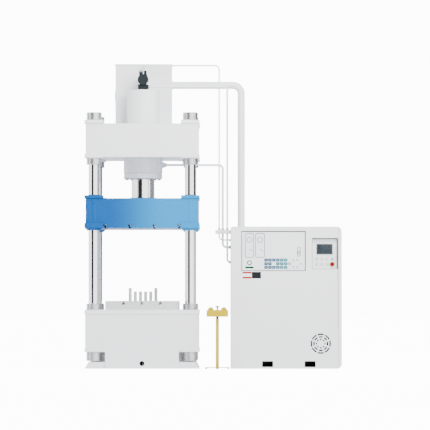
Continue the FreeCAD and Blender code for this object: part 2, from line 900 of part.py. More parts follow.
def cabinet_wrap():
    # one bent sheet: left side, top, right side and the edge strip at the front right
    outer = outline_solid(0, unit_front, unit_back)
    shell = outer.cut(outline_solid(sheet, unit_front - over, unit_back + over))
    floor_cut = block((unit_left + sheet, unit_front - over, -over),
                      (unit_right - unit_right_radius, unit_back + over, sheet))
    shell = shell.cut(floor_cut)
    strip = outline_solid(0, unit_front, unit_front + sheet)
    strip = strip.common(block((unit_right - grip_width, unit_front, 0),
                               (unit_right, unit_front + sheet, unit_height)))
    inside = outline_solid(0, unit_front, unit_back)
    lining = grip_recess(sheet).cut(grip_recess(0)).common(inside)
    shape = fused([shell, strip]).cut(grip_recess(0))
    shape = fused([shape, lining])
    x = unit_left + return_pipe_from_side
    hole = upright(return_pipe_diameter / 2 - return_pipe_wall, unit_height - sheet - over,
                   unit_height + over, x,
                   return_pipe_depth)
    entries = ((pilot_pipe_diameter, pilot_pipe_depth, pilot_entry_height),
               (pressure_pipe_diameter, pressure_pipe_depth, pressure_entry_height),
               (lift_pipe_diameter, 0.0, lift_entry_height))
    cuts = [hole]
    for diameter, y, z in entries:
        cuts.append(sideways(diameter / 2 - small_pipe_wall, unit_left - over, unit_left + sheet + over, y,
                             z))
    return shape.cut(Part.makeCompound(cuts))


def pocket_places():
    first = unit_left + pocket_from_left
    return (first, first + pocket_pitch)


def pocket_box(x, grow, front, rear):
    low = pocket_floor - grow
    return centred(pocket_width + 2 * grow, rear - front, low, pocket_floor + pocket_height + grow, x,
                   (front + rear) / 2)


def cabinet_skid():
    left = unit_left + sheet
    far = unit_right - unit_right_radius
    front = unit_front + sheet
    rear = unit_back - sheet
    parts = [block((left, front, 0), (left + skid_beam, rear, skid_height)),
             block((far - skid_beam, front, 0), (far, rear, skid_height)),
             block((left, front, 0), (far, front + skid_beam, skid_height)),
             block((left, rear - skid_beam, 0), (far, rear, skid_height)),
             block((left, front, skid_height), (far, rear, skid_height + pocket_wall))]
    parts += [pocket_box(x, pocket_wall, front, rear) for x in pocket_places()]
    pockets = [pocket_box(x, 0, front - over, rear - pocket_wall) for x in pocket_places()]
    return fused(parts).cut(Part.makeCompound(pockets))


def fan_slot(radius, span):
    # a curved slot with square ends round the fan's axis, drawn about the origin in the plane y = 0
    half = math.radians(span / 2)
    inner = radius - fan_slot_width / 2
    outer = radius + fan_slot_width / 2

    def point(r, angle):
        return Vector(r * math.sin(angle), 0, r * math.cos(angle))

    return Part.Face(Part.Wire([
        Part.Arc(point(outer, -half), point(outer, 0), point(outer, half)).toShape(),
        Part.LineSegment(point(outer, half), point(inner, half)).toShape(),
        Part.Arc(point(inner, half), point(inner, 0), point(inner, -half)).toShape(),
        Part.LineSegment(point(inner, -half), point(outer, -half)).toShape()]))


def fan_grille_cutter():
    cuts = []
    for radius, span in zip(fan_ring_radii, fan_slot_spans):
        for i in range(fan_slots):
            slot = fan_slot(radius, span).extrude(Vector(0, sheet + 2 * over, 0))
            slot.rotate(Vector(0, 0, 0), back, 360 / fan_slots * i)
            slot.translate(Vector(fan_x, unit_front - over, fan_height))
            cuts.append(slot)
    return Part.makeCompound(cuts)


def cabinet_front_panel():
    low = (unit_left + sheet, unit_front, 0)
    high = (unit_right - grip_width - sheet, unit_front + sheet, unit_height - sheet)
    inside = outline_solid(sheet, unit_front, unit_front + sheet)
    panel = block(low, high).common(inside)
    g = panel_gap
    cuts = [block((door_left - g, unit_front - over, door_low - g),
                  (door_left + door_width + g, unit_front + sheet + over, door_high + g)),
            block((operator_left, unit_front - over, operator_low),
                  (operator_left + operator_width, unit_front + sheet + over,
                   operator_low + operator_height))]
    cuts += [pocket_box(x, 0, unit_front - over, unit_front + sheet + over) for x in pocket_places()]
    return panel.cut(Part.makeCompound(cuts + [fan_grille_cutter()]))


def cabinet_rear_panel():
    inside = outline_solid(sheet, unit_back - sheet, unit_back)
    far = unit_right - sheet
    panel = block((unit_left + sheet, unit_back - sheet, 0), (far, unit_back, unit_height - sheet))
    return panel.common(inside)


def electrical_box():
    # the tray behind the door, with the two pins that the door hangs on
    m = electrical_margin
    front = unit_front + sheet
    low = (door_left - m, front, door_low - m)
    high = (door_left + door_width + m, front + electrical_depth, door_high + m)
    inner = block((low[0] + sheet, front - over, low[2] + sheet),
                  (high[0] - sheet, high[1] - sheet, high[2] - sheet))
    lower = upright(hinge_pin_radius, low[2] + sheet - over, door_low + hinge_pin_bite, hinge_x, hinge_y)
    upper = upright(hinge_pin_radius, door_high - hinge_pin_bite, high[2] - sheet + over, hinge_x, hinge_y)
    return fused([block(low, high).cut(inner), lower, upper])


def control_devices():
    rear = unit_front + electrical_depth
    middle = door_left + door_width / 2
    row_gap = door_height / (device_rows + 1)
    devices = []
    for row in range(device_rows):
        z = door_low + row_gap * (row + 1)
        for column_index in range(device_columns):
            x = middle + (column_index - (device_columns - 1) / 2) * device_pitch
            devices.append(block((x - device_width / 2, rear - device_depth, z - device_height / 2),
                                 (x + device_width / 2, rear, z + device_height / 2)))
    return Part.makeCompound(devices)


def door_panel():
    # a tray: its front skin with a flange turned in all round
    front = unit_front + door_recess
    low = (door_left, front, door_low)
    high = (door_left + door_width, front + door_return, door_high)
    inner = block((low[0] + sheet, front + sheet, low[2] + sheet),
                  (high[0] - sheet, high[1] + over, high[2] - sheet))
    shape = block(low, high).cut(inner)
    radius = handle_shaft_diameter / 2 + handle_shaft_gap
    shape = shape.cut(through(radius, front - over, front + sheet + over, handle_x, handle_pivot))
    pin = hinge_pin_radius + hinge_pin_gap
    return shape.cut(upright(pin, door_low - over, door_high + over, hinge_x, hinge_y))


def door_handle():
    # a lever that turns about its upper end, its shaft through the door and a short latch tongue
    front = unit_front + door_recess
    outer = front - handle_stand
    gap = handle_shaft_gap
    w = handle_lever_width / 2
    rear = front + sheet
    lever = block((handle_x - w, outer, handle_low), (handle_x + w, front - gap, handle_pivot))
    head = through(handle_width / 2, outer, front - gap, handle_x, handle_pivot)
    shaft = through(handle_shaft_diameter / 2, front - gap, rear + handle_shaft_tail, handle_x, handle_pivot)
    tongue = block((handle_x - w, rear + gap, handle_pivot - w),
                   (handle_x + handle_from_door_right - latch_setback, rear + gap + sheet, handle_pivot + w))
    return fused([lever, head, shaft, tongue])


def button_place(column_index, row):
    return (operator_left + button_columns[column_index], operator_low + button_rows[row])


def operator_holes():
    # every hole in the recessed plate: x, z, radius of what moves in it
    holes = []
    for row in range(2):
        for column_index in range(4):
            x, z = button_place(column_index, row)
            is_stop = row == 1 and column_index == 3
            diameter = stop_stem_diameter if is_stop else button_diameter
            holes.append((x, z, diameter / 2))
    return holes


def hmi_housing():
    # the recessed tray that carries the screen and the buttons, with a bezel round each hole
    low = (operator_left, unit_front, operator_low)
    high = (operator_left + operator_width, operator_back + sheet, operator_low + operator_height)
    inner = block((low[0] + sheet, unit_front - over, low[2] + sheet),
                  (high[0] - sheet, operator_back, high[2] - sheet))
    shape = block(low, high).cut(inner)
    cuts = []
    bezels = []
    for x, z, radius in operator_holes():
        bezels.append(through(button_bezel_diameter / 2, operator_back - button_bezel_height, operator_back,
                              x, z))
        cuts.append(through(radius + button_gap, operator_back - button_bezel_height - over,
                            operator_back + sheet + over, x, z))
    x = operator_left + screen_from_left + screen_body_inset
    z = operator_low + screen_from_bottom + screen_body_inset
    cuts.append(block((x, operator_back - over, z), (x + screen_width - 2 * screen_body_inset,
                                                  operator_back + sheet + over,
                                                  z + screen_height - 2 * screen_body_inset)))
    return fused([shape] + bezels).cut(Part.makeCompound(cuts))


def hmi_screen():
    x = operator_left + screen_from_left
    z = operator_low + screen_from_bottom
    bezel = block((x, operator_back - screen_front, z), (x + screen_width, operator_back, z + screen_height))
    edges = [e for e in bezel.Edges if e.BoundBox.YMax < operator_back - screen_front + pick]
    bezel = bezel.makeChamfer(screen_chamfer, edges)
    i = screen_body_inset
    body = block((x + i, operator_back, z + i),
                 (x + screen_width - i, operator_back + screen_body_depth, z + screen_height - i))
    return bezel.fuse(body)


def button_flange(x, z):
    front = operator_back + sheet + button_flange_gap
    return through(button_flange_diameter / 2, front, front + button_flange_thickness, x, z)


def push_button(index):
    x, z = button_place(index % 3, index // 3)
    cap = through(button_diameter / 2, operator_back - button_front, operator_back + button_tail, x, z)
    edges = [e for e in cap.Edges if e.BoundBox.YMax < operator_back - button_front + pick]
    return cap.makeFillet(button_fillet, edges).fuse(button_flange(x, z))


def key_selector():
    x, z = button_place(3, 0)
    cap = through(button_diameter / 2, operator_back - button_front, operator_back + button_tail, x, z)
    half = key_grip_width / 2
    reach = button_diameter / 2 - key_grip_inset
    grip = block((x - half, operator_back - button_front - key_grip_height, z - reach),
                 (x + half, operator_back - button_front, z + reach))
    return fused([cap, grip, button_flange(x, z)])


def stop_head(low, radius):
    # outline of a mushroom head, from its axis round its rim and back
    high = low + stop_head_height
    return [(0, low), (radius - stop_rim_inset, low), (radius, low + stop_rim_height),
            (radius, high - stop_crown), (radius - stop_crown, high), (0, high)]


def panel_stop():
    x, z = button_place(3, 1)
    face = operator_back - button_bezel_height - stop_travel - stop_clearance
    r = stop_diameter / 2
    head = turned(stop_head(0, r))
    head.rotate(Vector(0, 0, 0), right, 90)
    head.translate(Vector(x, face, z))
    stem = through(stop_stem_diameter / 2, face, operator_back + button_tail, x, z)
    return fused([head, stem, button_flange(x, z)])


def fan_centre_y():
    return unit_front + sheet + fan_frame_depth / 2


def fan_frame():
    front = unit_front + sheet
    rear = front + fan_frame_depth
    h = fan_frame_side / 2
    shape = block((fan_x - h, front, fan_height - h), (fan_x + h, rear, fan_height + h))
    shape = shape.cut(through(fan_bore_diameter / 2, front - over, rear + over, fan_x, fan_height))
    struts = [through(fan_hub_diameter / 2, rear - fan_strut_depth, rear, fan_x, fan_height)]
    for angle in (45, 135):
        strut = block((-fan_bore_diameter / 2 - fan_strut_bite, rear - fan_strut_depth, -fan_strut_width / 2),
                      (fan_bore_diameter / 2 + fan_strut_bite, rear, fan_strut_width / 2))
        strut.rotate(Vector(0, 0, 0), back, angle)
        strut.translate(Vector(fan_x, 0, fan_height))
        struts.append(strut)
    shape = fused([shape] + struts)
    return shape.cut(through(fan_shaft_diameter / 2 + running_gap, rear - fan_strut_depth - over, rear + over,
                             fan_x, fan_height))


def fan_rotor():
    middle = fan_centre_y() - fan_strut_depth / 2
    half = fan_blade_chord * math.sin(math.radians(fan_blade_tilt)) / 2
    parts = [through(fan_hub_diameter / 2, middle - half, middle + half, 0, 0),
             through(fan_shaft_diameter / 2, middle - half, unit_front + sheet + fan_frame_depth, 0, 0)]
    tip = fan_bore_diameter / 2 - fan_tip_gap
    for i in range(fan_blades):
        blade = block((-fan_blade_chord / 2, -fan_blade_thickness / 2, fan_hub_diameter / 2 - fan_blade_root),
                      (fan_blade_chord / 2, fan_blade_thickness / 2, tip))
        blade.rotate(Vector(0, 0, 0), up, fan_blade_tilt)
        blade.translate(Vector(0, middle, 0))
        blade.rotate(Vector(0, 0, 0), back, 360 / fan_blades * i)
        parts.append(blade)
    shape = fused(parts)
    shape.translate(Vector(fan_x, 0, fan_height))
    return shape


def pump_motor():
    left = unit_left + motor_from_left
    z = motor_axis_height
    r = motor_diameter / 2
    floor = skid_height + pocket_wall
    parts = [sideways(r, left, left + motor_length, 0, z)]
    for x in (left + motor_foot_width, left + motor_length - 2 * motor_foot_width):
        parts.append(block((x, -r, floor), (x + motor_foot_width, r, floor + motor_foot_thickness)))
        parts.append(block((x, -r / 2, floor), (x + motor_foot_width, r / 2, z)))
    box = left + terminal_box_start
    parts.append(block((box, -terminal_box_width / 2, z),
                       (box + terminal_box_length, terminal_box_width / 2, z + r + terminal_box_rise)))
    return fused(parts)


def hydraulic_pump():
    far = unit_left + motor_from_left
    bell = sideways(bell_diameter / 2, far - bell_length, far, 0, motor_axis_height)
    pump = sideways(pump_diameter / 2, far - bell_length - pump_length, far - bell_length, 0,
                    motor_axis_height)
    return bell.fuse(pump)


# two-hand control stand

def stand_frame():
    low = stand_foot_height
    high = low + stand_bar_thickness
    bars = [centred(stand_base_width, stand_bar_width, low, high, stand_x, stand_y),
            centred(stand_bar_width, stand_base_depth, low, high, stand_x, stand_y)]
    side = stand_post_side
    post = centred(side, side, high, stand_post_top, stand_x, stand_y)
    post = post.cut(centred(side - 2 * stand_post_wall, side - 2 * stand_post_wall, high + stand_post_wall,
                            stand_post_top + over, stand_x, stand_y))
    return fused(bars + [post])


def stand_rubbers():
    # four feet under the bars and the collar between the post and the box
    x = stand_base_width / 2 - stand_foot_diameter / 2
    y = stand_base_depth / 2 - stand_foot_diameter / 2
    feet = [upright(stand_foot_diameter / 2, 0, stand_foot_height, stand_x + dx, stand_y + dy)
            for dx, dy in ((x, 0), (-x, 0), (0, y), (0, -y))]
    collar = centred(stand_collar_side, stand_collar_side, stand_post_top, stand_box_low, stand_x, stand_y)
    return Part.makeCompound(feet + [collar])


def shroud(x):
    # a half-round guard over a palm button, open at the front and the back
    y = stand_y - shroud_depth / 2
    t = stand_box_wall
    outer = Part.makeCylinder(shroud_radius, shroud_depth, Vector(x, y, stand_box_top), back)
    inner = Part.makeCylinder(shroud_radius - t, shroud_depth + 2 * over, Vector(x, y - over, stand_box_top),
                              back)
    upper = centred(2 * shroud_radius, shroud_depth, stand_box_top - t, stand_box_top + shroud_radius, x,
                    stand_y)
    return outer.common(upper).cut(inner.common(centred(
        2 * shroud_radius, shroud_depth + 2 * over, stand_box_top, stand_box_top + shroud_radius, x,
        stand_y)))


def stand_button_places():
    half = shroud_pitch / 2
    return (stand_x - half, stand_x + half, stand_x)


def stand_box():
    t = stand_box_wall
    outer = centred(stand_box_width, stand_box_depth, stand_box_low, stand_box_top, stand_x, stand_y)
    edges = [e for e in outer.Edges if abs(e.BoundBox.ZMax - e.BoundBox.ZMin) > t]
    outer = outer.makeFillet(stand_box_radius, edges)
    inner = centred(stand_box_width - 2 * t, stand_box_depth - 2 * t, stand_box_low + t, stand_box_top - t,
                    stand_x, stand_y)
    left, far, middle = stand_button_places()
    shape = fused([outer.cut(inner), shroud(left), shroud(far)])
    for x in (left, far, middle):
        shape = shape.cut(upright(palm_stem_diameter / 2 + button_gap, stand_box_top - t - over,
                                  stand_box_top + over, x, stand_y))
    return shape


def palm_button(x):
    top = stand_box_top
    r = palm_diameter / 2
    low = top + palm_rise
    stem = palm_stem_diameter / 2
    flange_top = top - stand_box_wall - button_flange_gap
    return turned([(0, top - palm_stem_length), (stem, top - palm_stem_length),
                   (stem, flange_top - button_flange_thickness),
                   (stem + palm_flange_lip, flange_top - button_flange_thickness),
                   (stem + palm_flange_lip, flange_top), (stem, flange_top), (stem, low), (r, low),
                   (r, low + palm_height - palm_edge), (r - palm_edge, low + palm_height),
                   (0, low + palm_height)], x, stand_y)


def stand_stop():
    top = stand_box_top
    low = top + stand_stop_rise - stop_head_height
    stem = palm_stem_diameter / 2
    flange_top = top - stand_box_wall - button_flange_gap
    return turned([(0, top - palm_stem_length), (stem, top - palm_stem_length),
                   (stem, flange_top - button_flange_thickness),
                   (stem + palm_flange_lip, flange_top - button_flange_thickness),
                   (stem + palm_flange_lip, flange_top), (stem, flange_top), (stem, low)] +
                  stop_head(low, stop_diameter / 2)[1:], stand_x, stand_y)


def nodes():
    shapes = {
        "bed": bed(),
        "corner_feet": corner_feet(),
        "bolster_plate": bolster_plate(),
        "lower_lock_nuts": lock_nut(bed_bottom - lower_nut_height, bed_bottom),
        "bed_collar_nuts": lock_nut(bed_top, bed_top + bed_nut_height),
        "crown_collar_nuts": lock_nut(crown_bottom - crown_pad_drop - crown_nut_height,
                                      crown_bottom - crown_pad_drop),
        "upper_lock_nuts": lock_nut(crown_top + top_pad_height, nut_top),
        "crown": crown(),
        "cylinder_body": cylinder_body(),
        "cylinder_lock_ring": cylinder_lock_ring(),
        "gland_ring": gland_ring(),
        "prefill_valve": prefill_valve(),
        "prefill_solenoids": prefill_solenoids(),
        "suction_pipe": suction_pipe(),
        "oil_tank": oil_tank(),
        "return_pipe": return_pipe(),
        "pilot_pipe": pilot_pipe(),
        "pressure_pipe": pressure_pipe(),
        "lift_pipe": lift_pipe(),
        "pipe_bracket": pipe_bracket(),
        "ejector_cylinder": ejector_cylinder(),
        "ejector_rod": ejector_rod(),
        "ejector_plate": ejector_plate(),
        "ejector_pins": ejector_pins(),
        "slide_beam": slide_beam(),
        "guide_bushes": guide_bushes(),
        "bush_caps": bush_caps(),
        "piston_rod": piston_rod(),
        "cabinet_wrap": cabinet_wrap(),
        "cabinet_skid": cabinet_skid(),
        "cabinet_front_panel": cabinet_front_panel(),
        "cabinet_rear_panel": cabinet_rear_panel(),
        "electrical_box": electrical_box(),
        "control_devices": control_devices(),
        "door_panel": door_panel(),
        "door_handle": door_handle(),
        "hmi_housing": hmi_housing(),
        "hmi_screen": hmi_screen(),
        "key_selector": key_selector(),
        "panel_stop": panel_stop(),
        "fan_frame": fan_frame(),
        "fan_rotor": fan_rotor(),
        "pump_motor": pump_motor(),
        "hydraulic_pump": hydraulic_pump(),
        "stand_frame": stand_frame(),
        "stand_rubbers": stand_rubbers(),
        "stand_box": stand_box(),
        "palm_button_left": palm_button(stand_button_places()[0]),
        "palm_button_right": palm_button(stand_button_places()[1]),
        "stand_stop": stand_stop(),
    }
    for name, (x, y) in column_places.items():
        shapes["column_" + name] = column(x, y)
    for index in range(6):
        shapes["push_button_" + str(index + 1)] = push_button(index)
    return shapes


os.makedirs("parts", exist_ok=True)
for name, shape in nodes().items():
    shape.exportStep(os.path.join("parts", name + ".step"))
    print(name, len(shape.Solids), "solids", shape.isValid(), round(shape.Volume / 1e9, 5))
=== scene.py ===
import json
import math
import bpy
import bmesh
from mathutils import Matrix, Vector


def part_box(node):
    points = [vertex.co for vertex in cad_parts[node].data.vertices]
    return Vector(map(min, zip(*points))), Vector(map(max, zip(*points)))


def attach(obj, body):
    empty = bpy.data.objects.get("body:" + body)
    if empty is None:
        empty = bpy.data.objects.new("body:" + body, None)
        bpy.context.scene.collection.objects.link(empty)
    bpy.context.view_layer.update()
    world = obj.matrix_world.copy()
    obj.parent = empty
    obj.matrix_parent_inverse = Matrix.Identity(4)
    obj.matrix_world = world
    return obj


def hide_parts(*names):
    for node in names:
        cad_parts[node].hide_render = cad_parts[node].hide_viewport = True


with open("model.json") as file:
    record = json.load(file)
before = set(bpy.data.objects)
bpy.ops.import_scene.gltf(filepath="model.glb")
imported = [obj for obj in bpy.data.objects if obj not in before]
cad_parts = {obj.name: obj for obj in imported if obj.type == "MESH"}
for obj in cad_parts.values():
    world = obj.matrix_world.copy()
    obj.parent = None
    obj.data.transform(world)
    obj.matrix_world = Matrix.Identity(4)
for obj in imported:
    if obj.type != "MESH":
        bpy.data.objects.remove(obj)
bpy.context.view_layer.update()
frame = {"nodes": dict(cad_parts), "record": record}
scene = bpy.context.scene
nodes = frame["nodes"]
print("stage: frame loaded")


def tint(red, green, blue):
    # 0 to 255 screen values to the linear colour that shaders take
    def linear(v):
        v = v / 255
        return v / 12.92 if v <= 0.04045 else ((v + 0.055) / 1.055) ** 2.4
    return (linear(red), linear(green), linear(blue), 1.0)


def newGroup(name, inputs, outputs):
    group = bpy.data.node_groups.new(name, "ShaderNodeTree")
    for label, kind, value in inputs:
        socket = group.interface.new_socket(label, in_out="INPUT", socket_type=kind)
        if value is not None:
            socket.default_value = value
    for label, kind in outputs:
        group.interface.new_socket(label, in_out="OUTPUT", socket_type=kind)
    return group, group.nodes.new("NodeGroupInput"), group.nodes.new("NodeGroupOutput")


def mathNode(tree, operation, first, second=None, clamp=False):
    node = tree.nodes.new("ShaderNodeMath")
    node.operation = operation
    node.use_clamp = clamp
    for socket, value in zip(node.inputs, (first, second)):
        if value is None:
            continue
        if isinstance(value, (int, float)):
            socket.default_value = value
        else:
            tree.links.new(value, socket)
    return node.outputs[0]


def noiseNode(tree, vector, scale, detail=3.0, rough=0.5):
    node = tree.nodes.new("ShaderNodeTexNoise")
    node.inputs["Detail"].default_value = detail
    node.inputs["Roughness"].default_value = rough
    tree.links.new(vector, node.inputs["Vector"])
    if isinstance(scale, (int, float)):
        node.inputs["Scale"].default_value = scale
    else:
        tree.links.new(scale, node.inputs["Scale"])
    return node.outputs["Fac"]


def rangeNode(tree, value, low, high, toLow=0.0, toHigh=1.0):
    node = tree.nodes.new("ShaderNodeMapRange")
    node.interpolation_type = "SMOOTHSTEP"
    for label, number in (("From Min", low), ("From Max", high), ("To Min", toLow), ("To Max", toHigh)):
        node.inputs[label].default_value = number
    tree.links.new(value, node.inputs["Value"])
    return node.outputs["Result"]


def mixColor(tree, mask, first, second):
    node = tree.nodes.new("ShaderNodeMix")
    node.data_type = "RGBA"
    for index, value in ((6, first), (7, second)):
        if isinstance(value, tuple):
            node.inputs[index].default_value = value
        else:
            tree.links.new(value, node.inputs[index])
    tree.links.new(mask, node.inputs[0])
    return node.outputs[2]


def buildEdgeGroup():
    # rounds sharp edges in the shading and marks where they are rubbed
    group, start, end = newGroup("edgeRub", [
        ("Vector", "NodeSocketVector", None), ("Width", "NodeSocketFloat", 0.003),
        ("Breakup", "NodeSocketFloat", 60.0)],
        [("Rubbed", "NodeSocketFloat"), ("Rounded", "NodeSocketVector")])
    bevel = group.nodes.new("ShaderNodeBevel")
    bevel.samples = 4
    group.links.new(start.outputs["Width"], bevel.inputs["Radius"])
    flat = group.nodes.new("ShaderNodeNewGeometry")
    dot = group.nodes.new("ShaderNodeVectorMath")
    dot.operation = "DOT_PRODUCT"
    group.links.new(bevel.outputs["Normal"], dot.inputs[0])
    group.links.new(flat.outputs["Normal"], dot.inputs[1])
    turn = mathNode(group, "SUBTRACT", 1.0, dot.outputs["Value"])
    edge = rangeNode(group, turn, 0.02, 0.22)
    grain = noiseNode(group, start.outputs["Vector"], start.outputs["Breakup"], 6.0, 0.65)
    speck = rangeNode(group, grain, 0.42, 0.62)
    group.links.new(mathNode(group, "MULTIPLY", edge, speck, True), end.inputs["Rubbed"])
    group.links.new(bevel.outputs["Normal"], end.inputs["Rounded"])
    return group


def buildPaintGroup():
    # slow tone drift, sprayed orange peel and settled dust
    group, start, end = newGroup("sprayedSkin", [
        ("Vector", "NodeSocketVector", None), ("Peel", "NodeSocketFloat", 420.0)],
        [("Tone", "NodeSocketFloat"), ("Height", "NodeSocketFloat"), ("Dust", "NodeSocketFloat")])
    vector = start.outputs["Vector"]
    group.links.new(noiseNode(group, vector, 2.2, 4.0, 0.6), end.inputs["Tone"])
    peel = noiseNode(group, vector, start.outputs["Peel"], 2.0, 0.5)
    broad = noiseNode(group, vector, 24.0, 2.0, 0.5)
    group.links.new(mathNode(group, "ADD", mathNode(group, "MULTIPLY", peel, 0.35), broad),
                    end.inputs["Height"])
    facing = group.nodes.new("ShaderNodeNewGeometry")
    parts = group.nodes.new("ShaderNodeSeparateXYZ")
    group.links.new(facing.outputs["Normal"], parts.inputs[0])
    upward = rangeNode(group, parts.outputs["Z"], 0.6, 1.0)
    patch = rangeNode(group, noiseNode(group, vector, 9.0, 5.0, 0.6), 0.38, 0.72)
    group.links.new(mathNode(group, "MULTIPLY", upward, patch, True), end.inputs["Dust"])
    return group


def buildMachinedGroup():
    # fine tool marks: noise squeezed along the direction of the cut
    group, start, end = newGroup("toolMarks", [
        ("Vector", "NodeSocketVector", None), ("Stretch", "NodeSocketVector", (6.0, 6.0, 400.0))],
        [("Marks", "NodeSocketFloat"), ("Film", "NodeSocketFloat")])
    scale = group.nodes.new("ShaderNodeVectorMath")
    scale.operation = "MULTIPLY"
    group.links.new(start.outputs["Vector"], scale.inputs[0])
    group.links.new(start.outputs["Stretch"], scale.inputs[1])
    group.links.new(noiseNode(group, scale.outputs[0], 1.0, 5.0, 0.7), end.inputs["Marks"])
    group.links.new(noiseNode(group, start.outputs["Vector"], 5.0, 4.0, 0.55), end.inputs["Film"])
    return group


edgeGroup = buildEdgeGroup()
paintGroup = buildPaintGroup()
machinedGroup = buildMachinedGroup()
print("stage: shader groups built")


def startMaterial(name):
    material = bpy.data.materials.new(name)
    material.use_nodes = True
    tree = material.node_tree
    shader = tree.nodes["Principled BSDF"]
    place = tree.nodes.new("ShaderNodeTexCoord")
    return material, tree, shader, place.outputs["Object"]


def groupNode(tree, group, vector, **values):
    node = tree.nodes.new("ShaderNodeGroup")
    node.node_tree = group
    tree.links.new(vector, node.inputs["Vector"])
    for label, value in values.items():
        node.inputs[label].default_value = value
    return node


def addBump(tree, shader, height, distance, strength, normal=None):
    bump = tree.nodes.new("ShaderNodeBump")
    bump.inputs["Distance"].default_value = distance
    bump.inputs["Strength"].default_value = strength
    tree.links.new(height, bump.inputs["Height"])
    if normal is not None:
        tree.links.new(normal, bump.inputs["Normal"])
    tree.links.new(bump.outputs["Normal"], shader.inputs["Normal"])


def paintFinish(name, look):
    material, tree, shader, place = startMaterial(name)
    skin = groupNode(tree, paintGroup, place, Peel=look["peel"])
    edge = groupNode(tree, edgeGroup, place, Width=look["edge"], Breakup=look["breakup"])
    base = mixColor(tree, skin.outputs["Tone"], look["color"], look["drift"])
    # painted light: the base colour turns lighter along X, standing in for brighter light on that side
    if "paintedLightFade" in look:
        split = tree.nodes.new("ShaderNodeSeparateXYZ")
        tree.links.new(place, split.inputs[0])
        across = rangeNode(tree, split.outputs["X"], look["paintedLightFade"]["from"], look["paintedLightFade"]["to"])
        base = mixColor(tree, across, base, look["paintedLightFade"]["color"])
    dust = mathNode(tree, "MULTIPLY", skin.outputs["Dust"], look["dust"])
    base = mixColor(tree, dust, base, look["dustColor"])
    worn = mathNode(tree, "MULTIPLY", edge.outputs["Rubbed"], look["wear"])
    base = mixColor(tree, worn, base, look["bare"])
    tree.links.new(base, shader.inputs["Base Color"])
    rough = rangeNode(tree, skin.outputs["Tone"], 0.3, 0.7, look["rough"] - 0.05, look["rough"] + 0.06)
    tree.links.new(mathNode(tree, "ADD", rough, mathNode(tree, "MULTIPLY", dust, 0.3), True),
                   shader.inputs["Roughness"])
    shader.inputs["Specular IOR Level"].default_value = look["spec"]
    shader.inputs["Coat Weight"].default_value = look["coat"]
    shader.inputs["Coat Roughness"].default_value = 0.12
    addBump(tree, shader, skin.outputs["Height"], 0.0006, look["bump"], edge.outputs["Rounded"])
    return material


def metalFinish(name, look):
    material, tree, shader, place = startMaterial(name)
    marks = groupNode(tree, machinedGroup, place, Stretch=look["stretch"])
    edge = groupNode(tree, edgeGroup, place, Width=look["edge"], Breakup=90.0)
    base = mixColor(tree, rangeNode(tree, marks.outputs["Marks"], 0.3, 0.7), look["color"], look["mark"])
    base = mixColor(tree, rangeNode(tree, marks.outputs["Film"], 0.45, 0.75, 0.0, look["film"]), base,
                    look["oil"])
    base = mixColor(tree, mathNode(tree, "MULTIPLY", edge.outputs["Rubbed"], 0.5), base, look["bright"])
    tree.links.new(base, shader.inputs["Base Color"])
    rough = rangeNode(tree, marks.outputs["Marks"], 0.25, 0.75, look["rough"] - look["spread"],
                      look["rough"] + look["spread"])
    smear = mathNode(tree, "MULTIPLY", marks.outputs["Film"], look["spread"])
    tree.links.new(mathNode(tree, "ADD", rough, smear, True), shader.inputs["Roughness"])
    shader.inputs["Metallic"].default_value = 1.0
    addBump(tree, shader, marks.outputs["Marks"], 0.0003, look["bump"], edge.outputs["Rounded"])
    return material


def mouldedFinish(name, look):
    material, tree, shader, place = startMaterial(name)
    grain = noiseNode(tree, place, look["grain"], 3.0, 0.6)
    drift = noiseNode(tree, place, 14.0, 3.0, 0.5)
    edge = groupNode(tree, edgeGroup, place, Width=0.0008, Breakup=200.0)
    base = mixColor(tree, rangeNode(tree, drift, 0.3, 0.7), look["color"], look["drift"])
    base = mixColor(tree, mathNode(tree, "MULTIPLY", edge.outputs["Rubbed"], look["wear"]), base, look["pale"])
    tree.links.new(base, shader.inputs["Base Color"])
    tree.links.new(rangeNode(tree, grain, 0.3, 0.7, look["rough"] - 0.06, look["rough"] + 0.08),
                   shader.inputs["Roughness"])
    shader.inputs["Specular IOR Level"].default_value = look["spec"]
    shader.inputs["Coat Weight"].default_value = look["coat"]
    addBump(tree, shader, grain, 0.0002, look["bump"], edge.outputs["Rounded"])
    return material


whitePaint = {
    "color": tint(236, 237, 240), "drift": tint(229, 231, 234), "peel": 380.0, "edge": 0.004, "breakup": 40.0,
    "dust": 0.10, "dustColor": tint(205, 204, 200), "wear": 0.16, "bare": tint(176, 178, 182),
    "rough": 0.34, "coat": 0.12, "bump": 0.10, "spec": 0.4,
}
unitPaint = dict(whitePaint, color=tint(235, 236, 239), drift=tint(230, 232, 235), peel=700.0, rough=0.40,
                 bump=0.14, coat=0.1)
# bluePaint's ramp to a lighter blue along X is painted light on the slide's right side
bluePaint = dict(whitePaint, color=tint(0, 76, 140), drift=tint(0, 72, 134), dust=0.01, wear=0.10, coat=0.0,
                 spec=0.12,
                 bare=tint(70, 130, 176), paintedLightFade={"from": -0.50, "to": 0.36, "color": tint(8, 122, 180)})
yellowPaint = dict(whitePaint, color=tint(190, 163, 0), drift=tint(180, 154, 0), edge=0.0012, wear=0.12,
                   dust=0.02, coat=0.0, spec=0.12, bare=tint(150, 146, 130))
darkPaint = dict(whitePaint, color=tint(46, 50, 54), drift=tint(38, 42, 46), wear=0.35,
                 bare=tint(128, 130, 132), rough=0.45)
castPaint = dict(whitePaint, color=tint(24, 33, 37), drift=tint(15, 23, 27), peel=160.0, bump=0.5, rough=0.5,
                 wear=0.3, bare=tint(62, 70, 73), edge=0.002, coat=0.0, spec=0.15, dust=0.03)
turnedSteel = {
    "color": tint(206, 208, 210), "mark": tint(176, 179, 182), "bright": tint(238, 239, 240),
    "oil": tint(150, 148, 142),
    "film": 0.35, "stretch": (7.0, 7.0, 420.0), "edge": 0.002, "rough": 0.26, "spread": 0.08, "bump": 0.20,
}
groundSteel = dict(turnedSteel, stretch=(420.0, 5.0, 420.0), color=tint(224, 225, 227),
                   mark=tint(205, 207, 209), rough=0.42, film=0.2)
